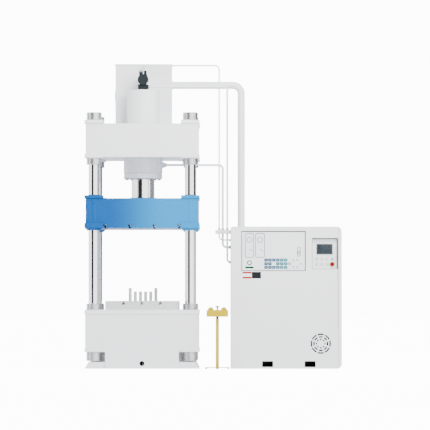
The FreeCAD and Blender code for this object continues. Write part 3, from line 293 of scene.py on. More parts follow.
hardChrome = dict(turnedSteel, color=tint(240, 241, 243), mark=tint(232, 233, 236), bright=tint(250, 250, 250),
                  film=0.12,
                  oil=tint(206, 205, 200), rough=0.06, spread=0.015, bump=0.006, stretch=(3.0, 3.0, 60.0),
                  edge=0.0002)
zincSheet = dict(turnedSteel, color=tint(190, 194, 196), mark=tint(172, 176, 180), stretch=(30.0, 30.0, 30.0),
                 rough=0.4)
bronzeMetal = dict(turnedSteel, color=tint(206, 168, 104), mark=tint(184, 146, 86), bright=tint(230, 198, 140))
blackPlastic = {"color": tint(34, 35, 37), "drift": tint(26, 27, 29), "pale": tint(90, 92, 95), "wear": 0.4,
                "grain": 900.0, "rough": 0.42, "coat": 0.0, "bump": 0.25, "spec": 0.3}
greyPlastic = dict(blackPlastic, color=tint(134, 137, 142), drift=tint(124, 127, 133), pale=tint(176, 178, 182))
screenPlastic = dict(blackPlastic, color=tint(54, 58, 64), drift=tint(46, 50, 56), pale=tint(110, 114, 120))
buttonPlastic = dict(blackPlastic, color=tint(243, 244, 246), drift=tint(236, 238, 241),
                     pale=tint(250, 250, 250), rough=0.22, coat=0.5, bump=0.06)
redPlastic = dict(blackPlastic, color=tint(128, 8, 8), drift=tint(118, 6, 6), pale=tint(150, 50, 40),
                  rough=0.35, coat=0.0, bump=0.06, spec=0.1)
rubber = dict(blackPlastic, color=tint(28, 28, 29), drift=tint(20, 20, 21), rough=0.72, grain=500.0, bump=0.5)

finishes = {
    "white_paint": paintFinish("whiteEnamel", whitePaint),
    "unit_paint": paintFinish("unitPowderCoat", unitPaint),
    "blue_paint": paintFinish("slideBlue", bluePaint),
    "yellow_paint": paintFinish("standYellow", yellowPaint),
    "dark_steel": paintFinish("darkSatin", darkPaint),
    "dark_casting": paintFinish("valveCasting", castPaint),
    "machined_steel": metalFinish("turnedSteel", turnedSteel),
    "chrome_steel": metalFinish("hardChrome", hardChrome),
    "zinc_sheet": metalFinish("zincSheet", zincSheet),
    "bronze": metalFinish("bushBronze", bronzeMetal),
    "grey_plastic": mouldedFinish("greyMoulding", greyPlastic),
    "screen_plastic": mouldedFinish("screenMoulding", screenPlastic),
    "button_plastic": mouldedFinish("buttonGloss", buttonPlastic),
    "red_plastic": mouldedFinish("stopRed", redPlastic),
    "black_plastic": mouldedFinish("palmBlack", blackPlastic),
    "black_rubber": mouldedFinish("footRubber", rubber),
}
groundFinish = metalFinish("groundPlate", groundSteel)


def printFinish(name, color, drift, rough=0.35):
    look = dict(buttonPlastic, color=color, drift=drift, pale=drift, wear=0.2, rough=rough, coat=0.0, spec=0.08)
    return mouldedFinish(name, look)


def glassFinish(name):
    # dark cover glass with finger smears in its gloss
    material, tree, shader, place = startMaterial(name)
    smear = noiseNode(tree, place, 30.0, 4.0, 0.6)
    tree.links.new(mixColor(tree, rangeNode(tree, smear, 0.3, 0.7), tint(38, 46, 52), tint(44, 53, 59)),
                   shader.inputs["Base Color"])
    tree.links.new(rangeNode(tree, smear, 0.35, 0.7, 0.08, 0.22), shader.inputs["Roughness"])
    shader.inputs["Specular IOR Level"].default_value = 0.12
    addBump(tree, shader, smear, 0.0002, 0.04)
    return material


for entry in frame["record"]["subparts"]:
    target = nodes[entry["node"]].data
    target.materials.clear()
    target.materials.append(finishes[entry["material_slot"]])
nodes["bolster_plate"].data.materials[0] = groundFinish
print("stage: finishes on the frame's nodes")


def addPiece(name, mesh, body, slotName, material=None, stands=()):
    piece = bpy.data.objects.new(name, mesh)
    scene.collection.objects.link(piece)
    if material is not None or not mesh.materials:
        mesh.materials.clear()
        mesh.materials.append(material or finishes[slotName])
    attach(piece, body)
    if stands:
        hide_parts(*stands)
    return piece


def smoothMesh(mesh, angle=35.0):
    mesh.polygons.foreach_set("use_smooth", [True] * len(mesh.polygons))
    mesh.set_sharp_from_angle(angle=math.radians(angle))
    return mesh


def turnedMesh(name, profile, segments=96, matrix=None):
    # spins a closed outline of (radius, height) points about Z
    work = bmesh.new()
    rings = []
    for radius, height in profile:
        if radius < 1e-6:
            rings.append([work.verts.new((0, 0, height))])
            continue
        turn = [2 * math.pi * i / segments for i in range(segments)]
        rings.append([work.verts.new((radius * math.cos(a), radius * math.sin(a), height)) for a in turn])
    pairs = list(zip(rings, rings[1:]))
    if profile[0][0] > 1e-6:
        pairs.append((rings[-1], rings[0]))
    for lower, upper in pairs:
        for i in range(segments):
            j = (i + 1) % segments
            corners = [lower[i % len(lower)], lower[j % len(lower)], upper[j % len(upper)],
                       upper[i % len(upper)]]
            unique = list(dict.fromkeys(corners))
            if len(unique) > 2:
                work.faces.new(unique)
    bmesh.ops.recalc_face_normals(work, faces=work.faces)
    if matrix is not None:
        work.transform(matrix)
    mesh = bpy.data.meshes.new(name)
    work.to_mesh(mesh)
    work.free()
    return smoothMesh(mesh)


def at(x, y, z, turnAxis=None, degrees=0.0):
    place = Matrix.Translation((x, y, z))
    if turnAxis:
        place = place @ Matrix.Rotation(math.radians(degrees), 4, turnAxis)
    return place


def plateMesh(name, boxes, bevel=0.001, segments=2):
    # one mesh of several bevelled blocks, each (low corner, high corner)
    work = bmesh.new()
    for low, high in boxes:
        size = [b - a for a, b in zip(low, high)]
        middle = [(a + b) / 2 for a, b in zip(low, high)]
        made = bmesh.ops.create_cube(work, size=1.0,
                                     matrix=Matrix.Translation(middle) @ Matrix.Diagonal((*size, 1.0)))
        if bevel:
            edges = {e for v in made["verts"] for e in v.link_edges}
            bmesh.ops.bevel(work, geom=list(edges), offset=min(bevel, min(size) * 0.4), segments=segments,
                            affect="EDGES", profile=0.5)
    mesh = bpy.data.meshes.new(name)
    work.to_mesh(mesh)
    work.free()
    return smoothMesh(mesh)


def roundedLoop(width, height, radius, steps=8):
    points = []
    for cornerX, cornerZ, start in ((1, 1, 0), (-1, 1, 90), (-1, -1, 180), (1, -1, 270)):
        for i in range(steps + 1):
            a = math.radians(start + 90 * i / steps)
            points.append((cornerX * (width / 2 - radius) + radius * math.cos(a),
                           cornerZ * (height / 2 - radius) + radius * math.sin(a)))
    return points


def facePrint(name, shapes, front, thickness):
    # thin raised print on a face towards -Y; each shape is an outer loop, an inner loop or None, and its centre
    work = bmesh.new()
    for outer, inner, (x, z) in shapes:
        def ring(loop, y):
            return [work.verts.new((x + px, y, z + pz)) for px, pz in loop]
        loops = [ring(outer, front), ring(outer, front + thickness)]
        walls = [(loops[0], loops[1])]
        if inner:
            holes = [ring(inner, front), ring(inner, front + thickness)]
            walls += [(holes[1], holes[0]), (holes[0], loops[0]), (loops[1], holes[1])]
        else:
            work.faces.new(loops[0])
            work.faces.new(loops[1])
        for first, second in walls:
            for i in range(len(first)):
                j = (i + 1) % len(first)
                work.faces.new((first[i], first[j], second[j], second[i]))
    bmesh.ops.recalc_face_normals(work, faces=work.faces)
    mesh = bpy.data.meshes.new(name)
    work.to_mesh(mesh)
    work.free()
    return mesh


def newGrowTree(name, inputs):
    tree = bpy.data.node_groups.new(name, "GeometryNodeTree")
    kinds = {"int": "NodeSocketInt", "float": "NodeSocketFloat", "vector": "NodeSocketVector",
             "material": "NodeSocketMaterial"}
    for label, kind in inputs:
        tree.interface.new_socket(label, in_out="INPUT", socket_type=kinds[kind])
    tree.interface.new_socket("Geometry", in_out="OUTPUT", socket_type="NodeSocketGeometry")
    return tree, tree.nodes.new("NodeGroupInput"), tree.nodes.new("NodeGroupOutput")


def addNode(tree, kind, links=(), **settings):
    node = tree.nodes.new(kind)
    for label, value in settings.items():
        setattr(node, label, value)
    for source, target in links:
        tree.links.new(source, node.inputs[target])
    return node


def closeTree(tree, start, end, geometry):
    moved = addNode(tree, "GeometryNodeTransform",
                    [(geometry, "Geometry"), (start.outputs["Place"], "Translation"),
                                                    (start.outputs["Turn"], "Rotation")])
    real = addNode(tree, "GeometryNodeRealizeInstances", [(moved.outputs[0], "Geometry")])
    coloured = addNode(tree, "GeometryNodeSetMaterial", [(real.outputs[0], "Geometry"),
                                                         (start.outputs["Finish"], "Material")])
    tree.links.new(coloured.outputs[0], end.inputs[0])


def buildBoltRing():
    # hexagon heads with a round washer face, spaced round a circle about Z
    tree, start, end = newGrowTree("boltRing", [
        ("Count", "int"), ("Circle", "float"), ("Head", "float"), ("Height", "float"), ("Sides", "int"),
        ("Place", "vector"), ("Turn", "vector"), ("Finish", "material")])
    circle = addNode(tree, "GeometryNodeMeshCircle", [(start.outputs["Count"], "Vertices"),
                                                      (start.outputs["Circle"], "Radius")])
    head = addNode(tree, "GeometryNodeMeshCone", [(start.outputs["Sides"], "Vertices"),
                                                  (start.outputs["Head"], "Radius Bottom"),
                                                  (start.outputs["Height"], "Depth")])
    narrow = addNode(tree, "ShaderNodeMath", [(start.outputs["Head"], 0)], operation="MULTIPLY")
    narrow.inputs[1].default_value = 0.9
    tree.links.new(narrow.outputs[0], head.inputs["Radius Top"])
    wide = addNode(tree, "ShaderNodeMath", [(start.outputs["Head"], 0)], operation="MULTIPLY")
    wide.inputs[1].default_value = 1.25
    thin = addNode(tree, "ShaderNodeMath", [(start.outputs["Height"], 0)], operation="MULTIPLY")
    thin.inputs[1].default_value = 0.25
    washer = addNode(tree, "GeometryNodeMeshCylinder",
                     [(wide.outputs[0], "Radius"), (thin.outputs[0], "Depth")])
    washer.inputs["Vertices"].default_value = 20
    both = addNode(tree, "GeometryNodeJoinGeometry")
    lifted = addNode(tree, "GeometryNodeTransform", [(washer.outputs[0], "Geometry")])
    half = addNode(tree, "ShaderNodeCombineXYZ", [(thin.outputs[0], "Z")])
    tree.links.new(half.outputs[0], lifted.inputs["Translation"])
    tree.links.new(head.outputs[0], both.inputs[0])
    tree.links.new(lifted.outputs[0], both.inputs[0])
    placed = addNode(tree, "GeometryNodeInstanceOnPoints",
                     [(circle.outputs[0], "Points"), (both.outputs[0], "Instance")])
    closeTree(tree, start, end, placed.outputs[0])
    return tree


def buildSlatRow():
    # tilted slats or flat bars, stepped along one line
    tree, start, end = newGrowTree("slatRow", [
        ("Count", "int"), ("Step", "vector"), ("Size", "vector"), ("Tilt", "vector"),
        ("Place", "vector"), ("Turn", "vector"), ("Finish", "material")])
    line = addNode(tree, "GeometryNodeMeshLine",
                   [(start.outputs["Count"], "Count"), (start.outputs["Step"], "Offset")])
    slat = addNode(tree, "GeometryNodeMeshCube", [(start.outputs["Size"], "Size")])
    placed = addNode(tree, "GeometryNodeInstanceOnPoints",
                     [(line.outputs[0], "Points"), (slat.outputs[0], "Instance"),
                                                            (start.outputs["Tilt"], "Rotation")])
    closeTree(tree, start, end, placed.outputs[0])
    return tree


def buildStudGrid():
    # short round studs or printed dots on a grid in the XY plane
    tree, start, end = newGrowTree("studGrid", [
        ("Columns", "int"), ("Rows", "int"), ("Width", "float"), ("Length", "float"), ("Radius", "float"),
        ("Depth", "float"), ("Place", "vector"), ("Turn", "vector"), ("Finish", "material")])
    grid = addNode(tree, "GeometryNodeMeshGrid", [
        (start.outputs["Columns"], "Vertices X"), (start.outputs["Rows"], "Vertices Y"),
        (start.outputs["Width"], "Size X"), (start.outputs["Length"], "Size Y")])
    stud = addNode(tree, "GeometryNodeMeshCylinder", [(start.outputs["Radius"], "Radius"),
                                                      (start.outputs["Depth"], "Depth")])
    stud.inputs["Vertices"].default_value = 24
    placed = addNode(tree, "GeometryNodeInstanceOnPoints",
                     [(grid.outputs[0], "Points"), (stud.outputs[0], "Instance")])
    closeTree(tree, start, end, placed.outputs[0])
    return tree


boltRing = buildBoltRing()
slatRow = buildSlatRow()
studGrid = buildStudGrid()


def grown(name, tree, values):
    carrier = bpy.data.objects.new(name + "Carrier", bpy.data.meshes.new(name + "Carrier"))
    scene.collection.objects.link(carrier)
    modifier = carrier.modifiers.new("grow", "NODES")
    modifier.node_group = tree
    for item in tree.interface.items_tree:
        if item.in_out == "INPUT":
            modifier[item.identifier] = values.get(item.name, (0.0, 0.0, 0.0) if item.name == "Turn" else None)
    graph = bpy.context.evaluated_depsgraph_get()
    mesh = bpy.data.meshes.new_from_object(carrier.evaluated_get(graph))
    carrier.modifiers.remove(modifier)
    bpy.data.objects.remove(carrier)
    return mesh


print("stage: growing trees built")


columnLook = {"chamfer": 0.005, "segments": 128, "fit": 0.0006, "wiperWidth": 0.012, "wiperHeight": 0.010,
              "wiperFoot": 0.004, "wiperSink": 0.0005, "wiperTaper": 0.003, "wiperSegments": 96}


def nodeSize(name):
    low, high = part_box(name)
    return low, high, (low + high) / 2


def makeColumns():
    c = columnLook["chamfer"]
    for name in ("front_left", "front_right", "rear_left", "rear_right"):
        low, high, middle = nodeSize("column_" + name)
        radius = (high.x - low.x) / 2
        profile = [(0, low.z), (radius - c, low.z), (radius, low.z + c),
                   (radius, high.z - c), (radius - c, high.z), (0, high.z)]
        mesh = turnedMesh("columnSkin_" + name, profile, columnLook["segments"], at(middle.x, middle.y, 0))
        addPiece("columnSkin_" + name, mesh, "frame", "chrome_steel", stands=("column_" + name,))


def columnCentres():
    return [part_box("column_" + name) for name in ("front_left", "front_right", "rear_left", "rear_right")]


def makeWipers():
    # black lip seals round each column on the slide's covers
    look = columnLook
    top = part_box("bush_caps")[1].z - look["wiperSink"]
    for index, (low, high) in enumerate(columnCentres()):
        radius = (high.x - low.x) / 2 + look["fit"]
        wide = radius + look["wiperWidth"]
        foot, lip = top - look["wiperFoot"], top + look["wiperHeight"]
        profile = [(radius, foot), (wide, foot), (wide, top), (radius + look["wiperTaper"], lip), (radius, lip)]
        place = at((low.x + high.x) / 2, (low.y + high.y) / 2, 0)
        mesh = turnedMesh("wiper", profile, look["wiperSegments"], place)
        addPiece("columnWiper_%d" % (index + 1), mesh, "slide", "black_rubber")


rodLook = {
    "radius": 0.170, "pistonLength": 0.150, "capDrop": 0.042, "segments": 160, "ringSegments": 128,
    "collar": {"gap": 0.0005, "radius": 0.205, "topRadius": 0.198, "edge": 0.014, "height": 0.020},
    "scraper": {"gap": 0.0006, "radius": 0.196, "lipRadius": 0.202, "drop": 0.187, "height": 0.003},
}


def makeRod():
    look, collar, seal = rodLook, rodLook["collar"], rodLook["scraper"]
    low, high, middle = nodeSize("piston_rod")
    radius, piston = look["radius"], (high.x - low.x) / 2
    shoulder = high.z - look["pistonLength"]
    profile = [(0, low.z), (radius, low.z), (radius, shoulder), (piston, shoulder), (piston, high.z),
               (0, high.z)]
    mesh = turnedMesh("rodSkin", profile, look["segments"], at(middle.x, middle.y, 0))
    addPiece("rodSkin", mesh, "slide", "chrome_steel", stands=("piston_rod",))
    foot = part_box("bush_caps")[1].z - look["capDrop"]
    bore, top = radius + collar["gap"], foot + collar["height"]
    ring = [(bore, foot), (collar["radius"], foot), (collar["radius"], foot + collar["edge"]),
            (collar["topRadius"], top), (bore, top)]
    addPiece("rodCollar", turnedMesh("rodCollar", ring, look["ringSegments"]), "slide", "machined_steel")
    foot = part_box("gland_ring")[1].z - seal["drop"]
    bore, top = radius + seal["gap"], foot + seal["height"]
    ring = [(bore, foot), (seal["radius"], foot), (seal["lipRadius"], top), (bore, top)]
    addPiece("rodScraper", turnedMesh("rodScraper", ring, look["ringSegments"]), "frame", "black_rubber")


# each ring is its count, the circle's radius, the head's radius and the head's height
boltLook = {
    "gland": (16, 0.250, 0.015, 0.018), "collar": (12, 0.188, 0.009, 0.010),
    "suction": (8, 0.076, 0.006, 0.007),
    "valve": (8, 0.064, 0.0075, 0.009), "return": (8, 0.070, 0.008, 0.009),
    "suctionInset": 0.015, "valveInset": 0.008, "returnInset": 0.085, "returnRise": 0.016,
}


def boltsInRing(name, body, slotName, ring, place, turn=(0.0, 0.0, 0.0), sides=6):
    count, circle, head, height = ring
    mesh = grown(name, boltRing, {"Count": count, "Circle": circle, "Head": head, "Height": height,
                                  "Sides": sides,
                                  "Place": tuple(place), "Turn": turn, "Finish": finishes[slotName]})
    return addPiece(name, mesh, body, slotName)


def makePressBolts():
    look, quarter = boltLook, math.pi / 2
    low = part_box("gland_ring")[0]
    boltsInRing("glandBolts", "frame", "machined_steel", look["gland"], (0, 0, low.z), (math.pi, 0, 0))
    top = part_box("slide_beam")[1].z + rodLook["collar"]["height"]
    boltsInRing("rodCollarBolts", "slide", "machined_steel", look["collar"], (0, 0, top))
    low, high, middle = nodeSize("suction_pipe")
    boltsInRing("suctionBolts", "frame", "machined_steel", look["suction"],
                (middle.x, high.y - look["suctionInset"], middle.z), (quarter, 0, 0))
    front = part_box("prefill_valve")[0].y + look["valveInset"]
    boltsInRing("valveDiscBolts", "frame", "dark_casting", look["valve"], (0, front, (low.z + high.z) / 2),
                (quarter, 0, 0))
    low, high, middle = nodeSize("return_pipe")
    boltsInRing("returnFlangeBolts", "frame", "machined_steel", look["return"],
                (high.x - look["returnInset"], middle.y, low.z + look["returnRise"]))


def beadMesh(name, loops, radius):
    # rows of overlapping beads along straight seams, given as (start, end)
    curve = bpy.data.curves.new(name, "CURVE")
    curve.dimensions = "3D"
    curve.bevel_depth = radius
    curve.bevel_resolution = 2
    curve.use_fill_caps = True
    for start, end in loops:
        start, end = Vector(start), Vector(end)
        count = max(3, int((end - start).length / (radius * 2.2)))
        spline = curve.splines.new("POLY")
        spline.points.add(count - 1)
        for i in range(count):
            point = start.lerp(end, i / (count - 1))
            spline.points[i].co = (*point, 1.0)
            spline.points[i].radius = 0.86 + 0.14 * math.cos(i * math.pi)
    carrier = bpy.data.objects.new(name, curve)
    scene.collection.objects.link(carrier)
    graph = bpy.context.evaluated_depsgraph_get()
    mesh = bpy.data.meshes.new_from_object(carrier.evaluated_get(graph))
    bpy.data.objects.remove(carrier)
    return smoothMesh(mesh, 60.0)


def rectangleSeams(low, high, z):
    corners = [(low[0], low[1], z), (high[0], low[1], z), (high[0], high[1], z), (low[0], high[1], z)]
    return list(zip(corners, corners[1:] + corners[:1]))


weldLook = {
    "radius": 0.004, "tankRadius": 0.003, "tankLift": 0.002, "bedHalf": (0.830, 0.700), "bedDrop": 0.064,
    "cheek": {"y": 0.684, "foot": 0.002, "top": 0.243}, "padInner": 0.136, "padOuter": 0.120,
}


def makeWelds():
    look, cheek = weldLook, weldLook["cheek"]
    halfX, halfY = look["bedHalf"]
    seams = rectangleSeams((-halfX, -halfY), (halfX, halfY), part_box("bed")[1].z - look["bedDrop"])
    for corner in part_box("bolster_plate"):
        for y in (-cheek["y"], cheek["y"]):
            seams.append(((corner.x, y, cheek["foot"]), (corner.x, y, cheek["top"])))
    addPiece("bedWelds", beadMesh("bedWelds", seams, look["radius"]), "frame", "white_paint")
    crownSeams, slideSeams = [], []
    levels = ((crownSeams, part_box("cylinder_lock_ring")[1].z), (slideSeams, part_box("slide_beam")[1].z))
    for low, high in columnCentres():
        x, y = (low.x + high.x) / 2, (low.y + high.y) / 2
        inner = (x - math.copysign(look["padInner"], x), y - math.copysign(look["padInner"], y))
        outer = (x + math.copysign(look["padOuter"], x), y + math.copysign(look["padOuter"], y))
        for seamList, z in levels:
            seamList.append(((inner[0], inner[1], z), (outer[0], inner[1], z)))
            seamList.append(((inner[0], inner[1], z), (inner[0], outer[1], z)))
    addPiece("crownWelds", beadMesh("crownWelds", crownSeams, look["radius"]), "frame", "white_paint")
    addPiece("slideWelds", beadMesh("slideWelds", slideSeams, look["radius"]), "slide", "blue_paint")
    low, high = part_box("oil_tank")
    tankSeams = rectangleSeams(low, high, low.z + look["tankLift"])
    addPiece("tankWelds", beadMesh("tankWelds", tankSeams, look["tankRadius"]), "frame", "white_paint")


slotShadeLook = {
    "thick": 0.008, "fit": 0.0005, "neck": 0.028, "head": 0.048, "headHeight": 0.020,
    "bolster": {"depth": 0.056, "places": (-0.270, 0.270)},
    "slide": {"depth": 0.050, "places": (-0.540, -0.180, 0.180, 0.540)},
}


def makeSlotShadeStops():
    # painted shade: black stops in the rear ends of the T-slots that run right through stand in for the shade
    # inside the slots
    look = slotShadeLook
    neck, head = look["neck"] / 2 - look["fit"], look["head"] / 2 - look["fit"]
    shelf = look["headHeight"] - look["fit"]
    for name, node, body, up in (("bolster", "bolster_plate", "frame", 1),
                                 ("slide", "slide_beam", "slide", -1)):
        low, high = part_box(node)
        top = look[name]["depth"] - look["fit"]
        floor = high.z - look[name]["depth"] if up == 1 else low.z + look[name]["depth"]
        outline = [(-head, look["fit"]), (head, look["fit"]), (head, shelf), (neck, shelf), (neck, top),
                   (-neck, top),
                   (-neck, shelf), (-head, shelf)]
        shapes = [([(px, up * pz) for px, pz in outline], None, (x, floor)) for x in look[name]["places"]]
        rear = high.y - look["thick"] - look["fit"]
        addPiece(name + "SlotShadeStops", facePrint(name + "SlotShadeStops", shapes, rear, look["thick"]), body,
                 "black_rubber")


tankLook = {
    "brim": {"side": 0.012, "front": 0.006, "drop": 0.014, "skin": 0.0005, "bevel": 0.002},
    "gauge": {"out": 0.010, "half": 0.018, "reach": 0.10, "bevel": 0.003},
    "glass": {"out": 0.013, "back": 0.009, "half": 0.007, "reach": 0.075, "bevel": 0.002},
    "cover": {"half": 0.26, "reach": 0.22, "thick": 0.008, "bevel": 0.002},
    "studs": {"Columns": 6, "Rows": 5, "Width": 0.48, "Length": 0.40, "Radius": 0.007, "Depth": 0.012},
    "studOut": 0.009,
}


def makeTankFittings():
    low, high, middle = nodeSize("oil_tank")
    brim, gauge, glass, cover = (tankLook[part] for part in ("brim", "gauge", "glass", "cover"))

    def add(name, first, second, bevel, slotName, material=None):
        addPiece(name, plateMesh(name, [(first, second)], bevel), "frame", slotName, material)

    add("tankBrim", (low.x - brim["side"], low.y - brim["front"], high.z - brim["drop"]),
        (high.x + brim["side"], high.y + brim["front"], high.z - brim["skin"]), brim["bevel"], "white_paint")
    add("tankGauge", (low.x - gauge["out"], middle.y - gauge["half"], middle.z - gauge["reach"]),
        (low.x, middle.y + gauge["half"], middle.z + gauge["reach"]), gauge["bevel"], "chrome_steel")
    add("tankGaugeGlass", (low.x - glass["out"], middle.y - glass["half"], middle.z - glass["reach"]),
        (low.x - glass["back"], middle.y + glass["half"], middle.z + glass["reach"]), glass["bevel"],
        "screen_plastic", glassGrey)
    add("tankCover", (-cover["half"], high.y, middle.z - cover["reach"]),
        (cover["half"], high.y + cover["thick"], middle.z + cover["reach"]), cover["bevel"], "white_paint")
    values = dict(tankLook["studs"], Place=(0, high.y + tankLook["studOut"], middle.z),
                  Turn=(math.pi / 2, 0, 0), Finish=finishes["machined_steel"])
    addPiece("tankCoverBolts", grown("tankCoverBolts", studGrid, values), "frame", "machined_steel")


# each run is a pipe's radius, its distance left of the power unit and its y
# each start is a nut's radius and length
pipeLook = {
    "nutWidth": 1.45, "nutLength": 0.026, "clampLength": 0.034, "nutNeck": 0.93, "nutChamfer": 0.12,
    "runs": {"pilot": (0.011, 0.170, 0.060), "pressure": (0.015, 0.050, -0.055), "lift": (0.017, 0.117, 0.0)},
    "starts": {"lift": (0.030, 0.034), "pressure": (0.026, 0.030)},
}


def nutMesh(name, radius, length, matrix, bore):
    neck, chamfer = radius * pipeLook["nutNeck"], length * pipeLook["nutChamfer"]
    profile = [(bore, 0), (neck, 0), (radius, chamfer), (radius, length - chamfer), (neck, length),
               (bore, length)]
    return turnedMesh(name, profile, 6, matrix)


def makePipeFittings():
    look = pipeLook
    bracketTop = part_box("pipe_bracket")[1].z
    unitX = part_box("cabinet_wrap")[0].x
    for name, (radius, inset, y) in look["runs"].items():
        wide, length = radius * look["nutWidth"], look["nutLength"]
        clamp = nutMesh(name + "Clamp", wide, look["clampLength"], at(unitX - inset, y, bracketTop), radius)
        addPiece(name + "ClampNut", clamp, "frame", "machined_steel")
        place = at(unitX - length, y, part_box(name + "_pipe")[0].z + radius, "Y", 90)
        addPiece(name + "EntryNut", nutMesh(name + "Entry", wide, length, place, radius), "frame",
                 "machined_steel")
    for name, (wide, length) in look["starts"].items():
        low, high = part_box(name + "_pipe")
        radius, inset, y = look["runs"][name]
        start = nutMesh(name + "Start", wide, length, at(low.x, y, high.z - length / 2, "Y", 90), radius)
        addPiece(name + "StartNut", start, "frame", "machined_steel")


printLook = {
    "line": 0.009, "lift": 0.0005, "sink": 0.0002, "corners": (0.028, 0.019),
    "frames": ((0.1076, 0.365, 0.130, 0.359), (0.2646, 0.365, 0.140, 0.359)),
    "dial": {"rise": 0.080, "rings": ((0.044, 0.0385), (0.031, 0.0275)), "shift": (0.004, -0.092),
             "arc": (0.038, 0.006, 30, 120), "tip": (0.040, 0.011, 8, 30)},
    "start": {"ring": (0.1095, 0.1106), "radii": (0.036, 0.022), "bar": (0.109, 0.0425),
              "size": (0.128, 0.026, 0.010)},
    "dots": {"left": 0.3504, "pitch": 0.0572, "top": 0.1508, "step": 0.0535, "radius": 0.0205, "small": 0.72,
             "hole": 0.005, "halo": (0.0545, 0.046, 0.008), "haloGap": 0.0003, "haloSteps": 36,
             "rows": ((0, 1, 2, 3, 4, 5), (0, 1, 3, 4, 5, 6), (0, 1, 2, 3, 4, 5)), "smallColumn": 6,
             "red": (1, 2),
             "ringRows": ((7.0, 8.0), (8.9,), (7.0, 8.0)), "rings": ((0.0165, 0.0125), (0.0075, 0.0045))},
}
glassGrey = glassFinish("coverGlass")
cyanPrint = printFinish("cyanPrint", tint(0, 104, 134), tint(0, 96, 126))
greyPrint = printFinish("greyPrint", tint(70, 78, 96), tint(62, 70, 90))
greenPrint = printFinish("greenPrint", tint(0, 70, 34), tint(0, 62, 40))
redPrint = printFinish("redPrint", tint(158, 14, 18), tint(146, 10, 14))
blackPrint = printFinish("blackPrint", tint(30, 32, 34), tint(24, 26, 28))
# painted shadow: this dark grey colours the rims round the buttons and the handle
shadeRimGrey = printFinish("shadeRimGrey", tint(70, 74, 80), tint(62, 66, 72))
whitePrint = printFinish("whitePrint", tint(246, 246, 247), tint(240, 241, 243))


def fadePrint(name, start, colors):
    # print whose ink fades along the door from deep teal to pale green
    material, tree, shader, place = startMaterial(name)
    split = tree.nodes.new("ShaderNodeSeparateXYZ")
    tree.links.new(place, split.inputs[0])
    along = rangeNode(tree, split.outputs["X"], start, start + 0.44)
    ink = mixColor(tree, along, colors[0], colors[1])
    speck = rangeNode(tree, noiseNode(tree, place, 700.0, 2.0), 0.55, 0.75, 0.0, 0.2)
    tree.links.new(mixColor(tree, speck, ink, tint(235, 240, 242)), shader.inputs["Base Color"])
    tree.links.new(rangeNode(tree, speck, 0.0, 0.2, 0.3, 0.5), shader.inputs["Roughness"])
    return material


def discLoop(radius, steps=32):
    return [(radius * math.cos(2 * math.pi * i / steps),
             radius * math.sin(2 * math.pi * i / steps)) for i in range(steps)]


def arcLoop(radius, line, first, last, steps=14):
    angles = [math.radians(first + (last - first) * i / steps) for i in range(steps + 1)]
    outer = [(radius * math.cos(a), radius * math.sin(a)) for a in angles]
    inner = [((radius - line) * math.cos(a), (radius - line) * math.sin(a)) for a in reversed(angles)]
    return outer + inner


def makeDoorPrint():
    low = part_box("door_panel")[0]
    dial, start, dots, line = (printLook[part] for part in ("dial", "start", "dots", "line"))
    front = low.y - printLook["lift"]
    thick = printLook["lift"] + printLook["sink"]

    def add(name, shapes, material):
        addPiece(name, facePrint(name, shapes, front, thick), "door", "unit_paint", material)

    def onDoor(x, z):
        return (low.x + x, low.z + z)

    def keyPlace(row, column):
        return onDoor(dots["left"] + column * dots["pitch"], dots["top"] - row * dots["step"])

    frames, rings, arcs, tips = [], [], [], []
    outerCorner, innerCorner = printLook["corners"]
    for x, z, width, height in printLook["frames"]:
        inside = roundedLoop(width - 2 * line, height - 2 * line, innerCorner)
        frames.append((roundedLoop(width, height, outerCorner), inside, onDoor(x, z)))
        for outer, inner in dial["rings"]:
            rings.append((discLoop(outer), discLoop(inner), onDoor(x, z + dial["rise"])))
        lower = onDoor(x + dial["shift"][0], z + dial["shift"][1])
        arcs.append((arcLoop(*dial["arc"]), None, lower))
        tips.append((arcLoop(*dial["tip"]), None, lower))
    add("dialFrames", frames, cyanPrint)
    add("dialRings", rings, greyPrint)
    add("dialArcs", arcs, greyPrint)
    add("dialTips", tips, redPrint)
    outer, inner = start["radii"]
    add("startRing", [(discLoop(outer), discLoop(inner), onDoor(*start["ring"]))], greenPrint)
    add("startBar", [(roundedLoop(*start["size"]), None, onDoor(*start["bar"]))], greenPrint)
    deep = fadePrint("dotInk", low.x + dots["left"], (tint(0, 20, 46), tint(0, 92, 96)))
    halo = fadePrint("dotHalo", low.x + dots["left"], (tint(0, 104, 150), tint(84, 180, 190)))
    spots, halos = [], []
    for row, columns in enumerate(dots["rows"]):
        for column in columns:
            radius = dots["radius"] * (dots["small"] if column == dots["smallColumn"] else 1.0)
            spots.append((discLoop(radius), discLoop(dots["hole"]), keyPlace(row, column)))
            hole = discLoop(dots["radius"] + dots["haloGap"], dots["haloSteps"])
            halos.append((roundedLoop(*dots["halo"]), hole, keyPlace(row, column)))
    for row, columns in enumerate(dots["ringRows"]):
        for column in columns:
            for outer, inner in dots["rings"]:
                spots.append((discLoop(outer), discLoop(inner), keyPlace(row, column)))
    add("keyDots", spots, deep)
    add("keyHalos", halos, halo)
    add("keyRed", [(discLoop(dots["hole"]), None, keyPlace(*dots["red"]))], redPrint)


labelLook = {
    "inset": 0.142, "drop": 0.0695, "thick": 0.0012, "plate": (0.274, 0.100, 0.003),
    "band": (0.134, 0.024, 0.001), "bandShift": (0.068, 0.036), "block": (0.134, 0.096, 0.002),
    "blockShift": 0.069,
}


